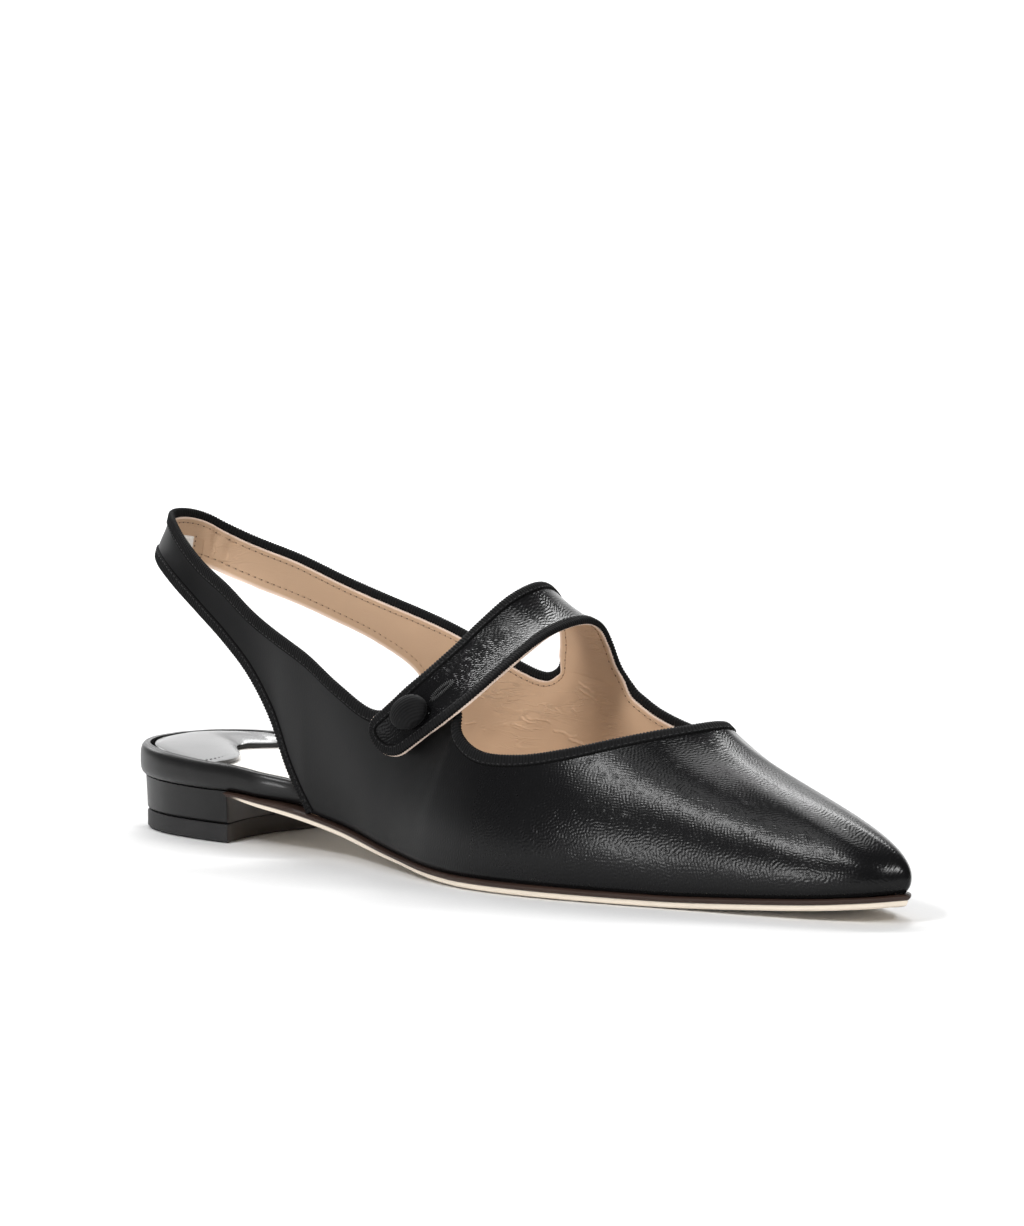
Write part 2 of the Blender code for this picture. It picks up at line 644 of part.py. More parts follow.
def build_elastic(sheet):
    """Ribbed elastic against the inside of the sling at the back of the heel."""
    first, last = (COLUMNS_PER_RIB * (len(OUTER_RIBS) + rib) for rib in ELASTIC_RIBS)
    index = [sheet.ring[row][first:last + 1] for row in range(ELASTIC_ROWS[0], ELASTIC_ROWS[1] + 1)]
    used = np.array(index)
    numbers = np.arange(used.size).reshape(used.shape)
    points, normals = sheet.points[used.ravel()], sheet.normals[used.ravel()]
    faces = [tuple(int(corner) for corner in face) for face in grid_faces(numbers)]
    near = -WALL - GAP
    return wall_of(points, faces, normals, near, near - ELASTIC_THICKNESS)


def finish(name, colour, roughness):
    """Plain material of one piece."""
    material = bpy.data.materials.new(name)
    material.use_nodes = True
    shader = material.node_tree.nodes["Principled BSDF"]
    shader.inputs["Base Color"].default_value = (*colour, 1.0)
    shader.inputs["Roughness"].default_value = roughness
    shader.inputs["Metallic"].default_value = 0.0
    return material


def add_piece(name, body, material, parent):
    """Make a named object from vertices and faces, closed, outward and smooth on its round stretches."""
    vertices, faces = body
    mesh = bpy.data.meshes.new(name)
    mesh.from_pydata([tuple(vertex) for vertex in vertices], [],
                     [tuple(int(corner) for corner in face) for face in faces])
    edit = bmesh.new()
    edit.from_mesh(mesh)
    bmesh.ops.delete(edit, geom=[vertex for vertex in edit.verts if not vertex.link_faces], context="VERTS")
    bmesh.ops.remove_doubles(edit, verts=edit.verts, dist=MERGE_DISTANCE)
    bmesh.ops.dissolve_degenerate(edit, dist=MERGE_DISTANCE, edges=edit.edges)
    bmesh.ops.recalc_face_normals(edit, faces=edit.faces)
    if edit.calc_volume(signed=True) < 0:
        bmesh.ops.reverse_faces(edit, faces=edit.faces)
    edit.to_mesh(mesh)
    edit.free()
    mesh.shade_smooth()
    mesh.set_sharp_from_angle(angle=math.radians(40))
    mesh.materials.append(material)
    piece = bpy.data.objects.new(name, mesh)
    piece.parent = parent
    bpy.context.scene.collection.objects.link(piece)
    return piece


def centre_on_floor(root, pieces):
    """Move the shoe so that the middle of its plan box is over the origin."""
    corners = np.array([vertex.co for piece in pieces for vertex in piece.data.vertices])
    middle = (corners.min(axis=0) + corners.max(axis=0)) / 2
    root.location = (-middle[0], -middle[1], 0.0)


def main():
    """Build every piece of the pump."""
    for old in list(bpy.data.objects):
        bpy.data.objects.remove(old, do_unlink=True)
    root = bpy.data.objects.new("pump", None)
    bpy.context.scene.collection.objects.link(root)

    black_leather = finish("black_leather", (0.012, 0.012, 0.013), 0.42)
    grosgrain = finish("black_ribbon", (0.006, 0.006, 0.006), 0.75)
    sole_leather = finish("sole_leather", (0.77, 0.65, 0.50), 0.55)
    heel_cover = finish("heel_cover", (0.015, 0.015, 0.016), 0.45)
    lift_rubber = finish("lift_rubber", (0.010, 0.010, 0.010), 0.60)
    pad_leather = finish("pad_leather", (0.016, 0.016, 0.018), 0.22)
    sock_leather = finish("sock_leather", (0.86, 0.82, 0.76), 0.50)
    elastic_web = finish("elastic_web", (0.80, 0.74, 0.65), 0.85)

    sheet = UpperSheet()
    upper = wall_of(sheet.points, sheet.faces, sheet.normals, 0.0, -WALL)
    pieces = [
        add_piece("upper", upper, black_leather, root),
        add_piece("binding_topline", folded_ribbon(sheet, sheet.topline(), True), grosgrain, root),
        add_piece("binding_sling", folded_ribbon(sheet, sheet.sling_edge(), False), grosgrain, root),
        add_piece("outsole", build_outsole(), sole_leather, root),
        add_piece("heel_block", build_heel_block(), heel_cover, root),
        add_piece("top_lift", build_top_lift(), lift_rubber, root),
        add_piece("insole", build_insole(), black_leather, root),
        add_piece("foot_sock", build_foot_sock(), sock_leather, root),
        add_piece("heel_pad", build_heel_pad(), pad_leather, root),
        add_piece("button", build_button(sheet), grosgrain, root),
        add_piece("sling_elastic", build_elastic(sheet), elastic_web, root),
    ]
    centre_on_floor(root, pieces)


main()
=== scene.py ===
"""Looks of the slingback pump: leather, lining, ribbon, stitches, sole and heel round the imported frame.

The pattern tables follow those of the solids and are read at a finer step. Lengths are in metres
unless a table says millimetres. +X runs to the toe, +Y to the inner side of the foot and +Z up.
"""
import functools
import math

import bmesh
import bpy
import numpy as np
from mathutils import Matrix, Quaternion, Vector
from mathutils.bvhtree import BVHTree
from mathutils.kdtree import KDTree


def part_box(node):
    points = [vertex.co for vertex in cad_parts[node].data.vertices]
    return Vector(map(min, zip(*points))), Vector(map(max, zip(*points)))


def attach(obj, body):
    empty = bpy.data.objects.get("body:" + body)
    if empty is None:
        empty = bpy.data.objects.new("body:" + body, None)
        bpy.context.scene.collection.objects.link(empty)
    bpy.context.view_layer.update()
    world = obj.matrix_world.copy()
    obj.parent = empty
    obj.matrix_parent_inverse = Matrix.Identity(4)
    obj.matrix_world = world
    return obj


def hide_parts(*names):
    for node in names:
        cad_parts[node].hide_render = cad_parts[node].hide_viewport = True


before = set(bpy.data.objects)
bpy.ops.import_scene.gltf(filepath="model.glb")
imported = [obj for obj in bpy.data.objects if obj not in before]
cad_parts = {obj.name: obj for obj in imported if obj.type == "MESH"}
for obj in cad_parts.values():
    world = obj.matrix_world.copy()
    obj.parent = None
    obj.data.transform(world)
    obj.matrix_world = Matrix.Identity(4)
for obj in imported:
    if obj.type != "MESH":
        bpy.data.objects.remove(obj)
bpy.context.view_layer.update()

bl_info = {
    "name": "Slingback Pump",
    "version": (1, 0, 0),
    "blender": (4, 5, 0),
    "location": "View3D > Sidebar > Pump",
    "description": "Dresses a slingback pump with leather, ribbon, lining, stitches and a studio",
    "category": "Object",
}

BODY = "root"
MM = 0.001
OUTER = -1
INNER = 1
UP = np.array([0.0, 0.0, 1.0])

# How finely the pattern is cut
COLUMNS_PER_RIB = 12
ROWS_UP_THE_WALL = 56
ROWS_PER_STRAP_STEP = 12
OUTLINE_STEPS_PER_ROW = 60
SOLE_STEPS_PER_ROW = 24
SMOOTHING_ROUNDS = 14
SMOOTHING_SHARE = 0.35
MERGE_DISTANCE = 1e-6
SHORTEST_CHORD = 1e-9
SHORTEST_VECTOR = 1e-12
FAN_WEIGHT = 0.015

# Small clearances: between two layers that lie on each other, and of a stitch off its leather
LAYER_CLEARANCE = 0.00002
STITCH_LIFT = 0.00003

# Lasted edge of the upper, tucked in where it meets the sole
FEATHER_GAP = 0.0001
TUCK_HEIGHT = 0.0022
TUCK_DEPTH = 0.0006

# Instep strap: crown across it and the bow of its free end
STRAP_CROWN = 0.0006
STRAP_CROWN_STEPS = (0.8, 3.0)
STRAP_END_BOW = 0.0052
STRAP_BOW_STEPS = 2.5
STRAP_ROOT_RIBS = (4, 7)
STRAP_ROOT_SHARE = 0.6

# Sole, heel and insole
TOP_LIFT_HEIGHT = 0.0046
GAP = 0.0003
BREAST_ROW = 4.64
BREAST_HOLLOW_ROWS = 0.36
BLOCK_INSET_TOP = 0.0014
BLOCK_INSET_BOTTOM = 0.0018
SOLE_START_ROWS = 0.05
SEAT_HEIGHT = 0.0053
RIM_RISE = 0.0028
RIM_RISE_SPAN = (0.0, 0.095)
FOREFOOT_HEIGHT = 0.0030
RIM_FALLS = (0.070, 0.105)
INSET_GROWS = (0.058, 0.072)
INSOLE_INSET = 0.0026
LIP_WIDTH = 0.0008
LIP_SLOPE = 0.0005
LIP_DEPTH = 0.0014
LIP_FADES = (0.072, 0.092)
RIM_ROUND = 0.0012
TRAY_INSET = RIM_ROUND + 2 * LIP_SLOPE
INSOLE_END_ROW = 16.0
SOCK_THICKNESS = 0.0007
SOCK_END_ROW = 15.6
PAD_CLEAR_OF_SOCK = 0.0002
PAD_CLEARANCE = 0.0006
PAD_ROWS = (4.05, 2.15)
PAD_CURVE_AT = 0.52
PAD_CURVE_WIDTH = 0.22
PAD_CROWN = 0.0005
PAD_EDGE = 0.0011
PAD_WING_ROWS = 0.85
PAD_WING_SPAN = (0.60, 1.0)
PAD_CLIMB_SPAN = (0.78, 1.0)
PAD_CLIMB_TAPER = 12
PAD_TAPER = 5

# Button at the strap's end
BUTTON_HALF_LENGTH = 0.0060
BUTTON_HALF_WIDTH = 0.0042
BUTTON_TURN = -22.0
BUTTON_EDGE = 0.0012
BUTTON_DOME = 0.0026
BUTTON_STEP = 10.3
BUTTON_SHARE = 0.5
BUTTON_LIFT = 0.0012

# Elastic in an opening of the lining at the sling's back: its ribs, and shares of the sling's height
ELASTIC_RIBS = (7.1, 8.9)
ELASTIC_ROW_SHARES = (0.08, 0.48)

# Camera as fitted to the photograph of 1024 x 1226 pixels
PHOTO_LONG_SIDE = 1226
CAMERA_AZIMUTH = 46.0
CAMERA_ELEVATION = 7.3
CAMERA_DISTANCE = 1.6
CAMERA_TARGET = (0.125, 0.0, 0.030)
CAMERA_FOCAL_PIXELS = 6435
CAMERA_RIGHT_OF_TARGET = 0.0016
CAMERA_ABOVE_TARGET = 0.0328

# Outline of the lasted upper on the sole in mm: along, outer half width, inner half width
OUTLINE = (
    (0.0, 0.0, 0.0),
    (2.5, 11.0, 11.0),
    (10.0, 20.5, 20.0),
    (22.0, 26.0, 25.0),
    (38.0, 27.5, 26.0),
    (55.0, 26.0, 23.8),
    (72.0, 23.2, 20.5),
    (90.0, 22.8, 18.6),
    (112.0, 27.6, 20.4),
    (132.0, 33.5, 26.0),
    (150.0, 35.9, 31.3),
    (168.0, 34.0, 34.0),
    (186.0, 29.0, 32.4),
    (206.0, 22.2, 26.6),
    (226.0, 16.0, 19.8),
    (243.0, 9.8, 13.2),
    (253.0, 4.0, 7.9),
    (257.7, -2.8, 2.8),
)

# Side view of the sole in mm: along, height of its underside, its thickness
SOLE_PROFILE = (
    (-5.0, 13.2, 0.6),
    (40.0, 12.6, 0.6),
    (52.0, 12.0, 1.2),
    (70.0, 9.4, 1.8),
    (90.0, 6.0, 1.9),
    (110.0, 2.7, 2.1),
    (130.0, 0.7, 2.5),
    (145.0, 0.0, 2.8),
    (155.0, 0.0, 2.9),
    (195.0, 0.0, 2.9),
    (205.0, 0.1, 2.9),
    (220.0, 0.8, 2.9),
    (240.0, 2.0, 2.9),
    (260.0, 3.9, 2.9),
)

# Ribs of the outer side in mm, toe to back of the quarter:
# foot along, top x, top y, top z, lean at foot, rise of foot handle, slope at top, reach of top handle
OUTER_RIBS = (
    (257.7, 194.5, 2.0, 41.4, 34, 18, 42, 21),
    (254.5, 194.2, -1.6, 41.3, 32, 17, 42, 20),
    (245.0, 192.8, -6.0, 40.9, 26, 14, 43, 19),
    (228.0, 189.0, -12.5, 39.9, 18, 13, 45, 16),
    (207.0, 182.5, -19.4, 38.0, 15, 12, 48, 13),
    (186.0, 172.8, -26.1, 35.2, 15, 12, 58, 11),
    (167.0, 160.5, -30.7, 32.9, 14, 10, 68, 9),
    (148.0, 148.6, -32.5, 33.1, 12, 10, 74, 9),
    (134.0, 139.2, -30.3, 37.5, 13, 12, 74, 10),
    (126.5, 137.8, -28.6, 42.3, 13, 13, 74, 12),
    (118.0, 130.6, -27.4, 43.0, 13, 14, 76, 12),
    (110.0, 119.0, -27.9, 41.6, 14, 13, 82, 12),
    (103.0, 108.0, -28.8, 38.8, 15, 13, 88, 11),
    (92.0, 95.0, -29.0, 44.0, 14, 14, 91, 13),
    (77.0, 81.6, -27.9, 50.6, 12, 14, 91, 14),
)

# Ribs of the sling in mm, from the outer quarter round the heel to the inner quarter:
# low x, low y, low z, top x, top y, top z, lean, rise, slope, reach
SLING_RIBS = (
    (70.6, -24.2, 21.8, 74.0, -27.0, 53.3, 6, 11, 89, 11),
    (65.8, -25.0, 33.3, 65.6, -25.6, 56.0, 2, 8, 88, 8),
    (57.4, -25.0, 44.1, 56.6, -24.3, 59.6, 0, 6, 87, 6),
    (46.2, -24.0, 52.2, 46.0, -22.8, 65.1, -2, 5, 87, 5),
    (34.2, -22.2, 58.6, 34.6, -20.6, 69.6, -4, 4, 86, 4),
    (21.4, -19.7, 65.0, 24.0, -17.4, 74.4, -6, 4, 85, 4),
    (12.0, -16.0, 69.0, 15.0, -13.4, 78.6, -8, 4, 83, 4),
    (4.2, -8.8, 70.4, 7.0, -7.2, 80.6, -10, 4, 80, 4),
    (1.8, 0.2, 68.9, 4.0, 0.5, 80.5, -10, 4, 80, 4),
    (2.6, 7.4, 66.9, 3.8, 8.2, 78.6, -6, 4, 82, 4),
    (6.0, 12.9, 64.4, 6.8, 13.3, 75.6, -4, 4, 85, 4),
    (14.2, 16.8, 61.2, 14.2, 17.0, 72.4, -2, 4, 88, 4),
    (27.0, 20.0, 57.5, 27.0, 20.3, 68.7, 0, 4, 90, 4),
    (40.0, 23.0, 53.3, 42.0, 23.0, 63.7, 0, 4, 90, 4),
    (53.0, 25.0, 48.9, 55.0, 24.6, 60.1, 0, 4, 90, 4),
    (68.0, 25.9, 41.7, 70.0, 25.8, 56.4, 0, 5, 90, 5),
    (76.0, 24.9, 31.5, 80.0, 26.3, 53.7, 4, 8, 90, 8),
    (81.0, 22.6, 20.2, 88.0, 26.9, 50.9, 8, 10, 91, 10),
)

# Ribs of the inner side in mm, back of the quarter to the toe, with the columns of OUTER_RIBS
INNER_RIBS = (
    (86.5, 96.0, 27.4, 48.2, 14, 12, 91, 12),
    (95.0, 104.0, 27.8, 45.5, 16, 12, 91, 11),
    (101.0, 109.2, 28.0, 44.2, 17, 12, 90, 11),
    (105.0, 113.0, 28.0, 44.1, 17, 12, 90, 11),
    (109.0, 116.8, 27.9, 45.8, 17, 12, 92, 12),
    (121.0, 126.5, 27.8, 46.4, 17, 12, 95, 12),
    (134.0, 135.5, 27.4, 45.0, 16, 12, 95, 12),
    (144.0, 144.4, 26.8, 42.4, 14, 12, 92, 12),
    (152.0, 152.0, 26.9, 38.8, 13, 11, 82, 10),
    (163.0, 162.4, 27.2, 35.8, 13, 11, 70, 10),
    (179.0, 174.0, 25.2, 35.0, 14, 12, 60, 11),
    (200.0, 184.0, 18.6, 37.6, 15, 12, 48, 13),
    (224.0, 190.4, 12.0, 39.9, 18, 13, 45, 16),
    (243.0, 193.4, 7.4, 40.9, 26, 14, 43, 19),
    (253.5, 194.4, 4.8, 41.3, 32, 17, 42, 20),
)

# Edges of the instep strap in mm, from its root on the inner side to its free end:
# rear x, rear y, rear z, front x, front y, front z
STRAP_STEPS = (
    (116.8, 27.9, 45.8, 144.4, 26.8, 42.4),
    (118.4, 27.8, 52.0, 138.4, 26.8, 48.5),
    (119.4, 26.2, 58.6, 136.8, 25.4, 54.4),
    (121.4, 22.2, 64.6, 137.4, 21.8, 59.0),
    (125.2, 15.0, 68.8, 139.2, 15.6, 61.4),
    (128.6, 6.5, 69.8, 140.8, 7.5, 61.4),
    (129.4, -3.0, 67.3, 142.4, -2.2, 59.8),
    (128.7, -12.0, 61.9, 144.2, -12.0, 56.6),
    (128.6, -20.0, 56.8, 144.4, -21.2, 51.9),
    (126.9, -26.9, 51.7, 142.7, -29.4, 46.2),
    (122.5, -31.1, 46.4, 136.6, -32.9, 40.5),
    (117.4, -32.5, 41.6, 129.5, -33.6, 35.8),
    (112.4, -32.9, 38.0, 123.2, -34.0, 31.8),
)

# Shape of a crease: its shoulders' share of its depth, their width in widths, where its fade starts
CREASE_SHOULDER = 0.5
CREASE_SPREAD = 2.4
CREASE_START = 0.05

# Folds of the lining in mm, raised where the depth is negative:
# start x, y, z, end x, y, z, width, depth
LINING_CREASES = (
    (99.5, 26.0, 34.6, 106.0, 26.0, 34.2, 1.5, -0.14),
    (104.0, 26.0, 32.8, 111.0, 26.0, 31.8, 1.5, -0.14),
    (106.5, 26.0, 33.3, 116.5, 26.0, 32.5, 1.5, -0.16),
    (92.0, 26.0, 28.5, 101.5, 26.0, 30.4, 1.5, -0.16),
    (101.5, 26.0, 30.4, 108.5, 26.0, 30.4, 1.5, -0.14),
    (92.5, 26.0, 27.8, 98.0, 26.0, 28.6, 1.4, -0.10),
    (122.5, 26.0, 42.0, 133.0, 26.0, 39.0, 1.6, -0.16),
    (124.0, 26.0, 43.0, 131.0, 26.0, 41.0, 1.4, -0.10),
    (122.0, 26.0, 36.5, 126.0, 26.0, 35.2, 1.4, -0.10),
    (116.5, 26.0, 30.8, 125.5, 26.0, 29.8, 1.5, -0.14),
    (82.0, 26.0, 26.8, 86.5, 26.0, 26.4, 1.4, -0.10),
    (85.0, 26.0, 29.2, 91.5, 26.0, 29.8, 1.4, -0.10),
    (89.0, 26.0, 36.8, 92.5, 26.0, 36.5, 1.4, -0.10),
    (122.0, 26.0, 29.6, 127.0, 26.0, 27.8, 1.4, -0.10),
    (8.0, 14.0, 75.0, 6.6, 12.6, 66.0, 1.1, 0.45),
    (5.4, 10.6, 77.0, 4.6, 9.2, 68.0, 1.0, 0.40),
)

# Creases of the strap in mm: start x, y, z, end x, y, z, width, depth
STRAP_CREASES = (
    (131.0, -8.0, 64.0, 139.0, -6.5, 60.5, 1.6, 0.04),
    (130.0, -14.5, 60.2, 137.0, -15.5, 57.0, 1.4, 0.03),
    (133.0, -19.0, 56.0, 142.0, -18.0, 54.0, 1.5, 0.03),
    (129.0, -24.0, 53.2, 136.0, -26.0, 49.2, 1.3, 0.04),
    (132.0, -29.0, 46.6, 139.0, -30.0, 45.0, 1.3, 0.03),
    (124.0, -30.2, 47.4, 129.0, -31.6, 43.6, 1.2, 0.04),
    (120.0, -32.2, 43.0, 126.0, -33.2, 38.6, 1.2, 0.03),
)


def through(rows, at, closed=False):
    """Read a smooth curve through the rows at fractional row numbers; chord roots keep it even."""
    rows = np.asarray(rows, float)
    last = len(rows) if closed else len(rows) - 1
    if closed:
        knots = np.vstack([rows[-1:], rows, rows[:2]])
    else:
        knots = np.vstack([2 * rows[0] - rows[1], rows, 2 * rows[-1] - rows[-2]])
    at = np.asarray(at, float)
    index = np.clip(np.floor(at).astype(int), 0, last - 1)
    share = (at - index)[:, None]
    before, start, end, after = (knots[index + step] for step in range(4))

    def root(one, other):
        return np.sqrt(np.maximum(np.linalg.norm(other - one, axis=1, keepdims=True), SHORTEST_CHORD))

    a, b, c = root(before, start), root(start, end), root(end, after)
    leave = (end - start) + b * ((start - before) / a - (end - before) / (a + b))
    arrive = (end - start) + b * ((after - end) / c - (after - start) / (b + c))
    square, cube = share ** 2, share ** 3
    return ((2 * cube - 3 * square + 1) * start + (cube - 2 * square + share) * leave
            + (3 * square - 2 * cube) * end + (cube - square) * arrive)


def steps(first, last, per_row):
    """Even row numbers from first to last, both included."""
    return np.linspace(first, last, max(1, round((last - first) * per_row)) + 1)


def unit(vectors):
    """Scale each vector to length one."""
    return vectors / np.maximum(np.linalg.norm(vectors, axis=-1, keepdims=True), SHORTEST_VECTOR)


def ease(value, span):
    """Smooth 0 to 1 as the value crosses the span."""
    share = np.clip((np.asarray(value) - span[0]) / (span[1] - span[0]), 0, 1)
    return share * share * (3 - 2 * share)


def part_across(vectors, direction):
    """What is left of each vector when its part along a unit direction is taken out."""
    return vectors - np.sum(vectors * direction, axis=-1, keepdims=True) * direction


def outline_side(side, at):
    """Plan points of one side of the outline, at fractional table rows."""
    column = 1 if side == OUTER else 2
    rows = [(row[0], side * row[column], 0.0) for row in OUTLINE]
    return through(rows, at)[:, :2] * MM


@functools.lru_cache(maxsize=1)
def sole_curve():
    """Side view of the sole as a dense curve in metres."""
    return through(SOLE_PROFILE, steps(0, len(SOLE_PROFILE) - 1, SOLE_STEPS_PER_ROW)) * MM


def sole_height(along, share):
    """Height inside the sole: share 0 is its underside and 1 the seat that it gives."""
    dense = sole_curve()
    under = np.interp(along, dense[:, 0], dense[:, 1])
    return np.maximum(under, 0) + share * np.interp(along, dense[:, 0], dense[:, 2])


def foot_columns(ribs, side):
    """Foot points of one side's columns, spaced along the outline by the ribs' own feet."""
    plan = outline_side(side, steps(0, len(OUTLINE) - 1, OUTLINE_STEPS_PER_ROW))
    run = np.concatenate([[0.0], np.cumsum(np.linalg.norm(np.diff(plan, axis=0), axis=1))])
    feet = np.array([rib[0] for rib in ribs]) * MM
    rib_runs = np.interp(feet, plan[:, 0], run)
    where = through(rib_runs[:, None], steps(0, len(ribs) - 1, COLUMNS_PER_RIB))[:, 0]
    x = np.interp(where, run, plan[:, 0])
    y = np.interp(where, run, plan[:, 1])
    return np.column_stack([x, y, sole_height(x, 1) + FEATHER_GAP])


def lasted_ring():
    """Points of the lasted upper, rows up the wall by columns from the toe round the outer side."""
    outer = foot_columns(OUTER_RIBS, OUTER)
    inner = foot_columns(INNER_RIBS + OUTER_RIBS[:1], INNER)
    low_rows = np.vstack([outer[-1:], np.array([rib[:3] for rib in SLING_RIBS]) * MM, inner[:1]])
    sling = through(low_rows, steps(0, len(low_rows) - 1, COLUMNS_PER_RIB))
    foot = np.vstack([outer[:-1], sling[:-1], inner[:-1]])

    ribs = OUTER_RIBS + SLING_RIBS + INNER_RIBS
    at = steps(0, len(ribs), COLUMNS_PER_RIB)[:-1]
    top = through([rib[-7:-4] for rib in ribs], at, closed=True) * MM
    lean, rise, slope, reach = through([rib[-4:] for rib in ribs], at, closed=True).T[:, :, None]
    lean, slope = np.radians(lean), np.radians(slope)

    turn = np.roll(foot, -1, axis=0) - np.roll(foot, 1, axis=0)
    plan_normal = unit(np.column_stack([-turn[:, 1], turn[:, 0]]))
    facing = unit(plan_normal * FAN_WEIGHT + (foot - top)[:, :2])
    facing = np.column_stack([facing, np.zeros(len(facing))])
    foot_handle = foot + rise * MM * (np.sin(lean) * facing + np.cos(lean) * UP)
    top_handle = top + reach * MM * (np.cos(slope) * facing - np.sin(slope) * UP)
    t = np.linspace(0, 1, ROWS_UP_THE_WALL + 1)[:, None, None]
    return ((1 - t) ** 3 * foot + 3 * (1 - t) ** 2 * t * foot_handle
            + 3 * (1 - t) * t ** 2 * top_handle + t ** 3 * top)


def strap_grid(root):
    """Rows of the instep strap above its root row, crowned across, the last rows bowed to a round end."""
    at = steps(0, len(STRAP_STEPS) - 1, ROWS_PER_STRAP_STEP)
    rear = through([step[:3] for step in STRAP_STEPS], at) * MM
    front = through([step[3:] for step in STRAP_STEPS], at) * MM
    along = unit(np.gradient((rear + front) / 2, axis=0))
    out = unit(np.cross(along, rear - front))
    even = np.linspace(0, 1, len(root))
    crowded = (1 - np.cos(np.pi * even)) / 2
    rows = [root]
    for row in range(1, len(at)):
        bow = ease(at[row], (at[-1] - STRAP_BOW_STEPS, at[-1]))
        share = (even + (crowded - even) * bow)[:, None]
        arc = np.sqrt(np.maximum(0, 1 - (2 * share - 1) ** 2)) * bow * STRAP_END_BOW
        crown = (1 - (2 * share - 1) ** 2) * STRAP_CROWN * ease(at[row], STRAP_CROWN_STEPS)
        line = rear[row] * (1 - share) + front[row] * share
        rows.append(line + along[row] * arc + out[row] * crown)
    return np.array(rows)


def grid_faces(index):
    """Quads of a grid of vertex numbers, rows up and columns across, facing up-cross-columns."""
    corners = (index[:-1, :-1], index[1:, :-1], index[1:, 1:], index[:-1, 1:])
    return np.stack(corners, axis=-1).reshape(-1, 4)


def sheet_normals(points, faces):
    """Vertex normals of a sheet of quads."""
    corner = points[faces]
    normal = np.cross(corner[:, 2] - corner[:, 0], corner[:, 3] - corner[:, 1])
    normals = np.zeros_like(points)
    for place in range(4):
        np.add.at(normals, faces[:, place], normal)
    return unit(normals)


def edges_of(faces):
    """Each undirected edge of the quads and how many faces share it."""
    pairs = np.concatenate([faces[:, [place, (place + 1) % 4]] for place in range(4)])
    return np.unique(np.sort(pairs, axis=1), axis=0, return_counts=True)


def relax(points, faces, rounds, share):
    """Even out a sheet inside its edges: each point moves towards the mean of its neighbours."""
    pairs, uses = edges_of(faces)
    free = np.ones(len(points))
    free[pairs[uses == 1].ravel()] = 0
    ends, others = np.concatenate([pairs, pairs[:, ::-1]]).T
    count = np.bincount(ends, minlength=len(points))
    for _ in range(rounds):
        total = [np.bincount(ends, points[others, axis], len(points)) for axis in range(3)]
        total = np.column_stack(total)
        points = points + (total / count[:, None] - points) * (free * share)[:, None]
    return points


def crease(sheet, points, normals, lift, table):
    """Press listed troughs into a face of the sheet; a negative depth raises a fold."""
    moved = points.copy()
    for row in table:
        places, outward = sheet.lay(np.array([row[0:3], row[3:6]]) * MM)
        start, end = places + outward * lift
        width, depth = row[6] * MM, row[7] * MM
        line = end - start
        share = np.clip((points - start) @ line / (line @ line), 0, 1)
        away = np.linalg.norm(points - start - share[:, None] * line, axis=1) / width
        fade = np.sin(np.pi * (CREASE_START + (1 - 2 * CREASE_START) * share))
        trough = (1 + CREASE_SHOULDER) * np.exp(-away ** 2)
        shoulder = CREASE_SHOULDER * np.exp(-(away / CREASE_SPREAD) ** 2)
        moved -= normals * ((trough - shoulder) * fade * depth)[:, None]
    return moved


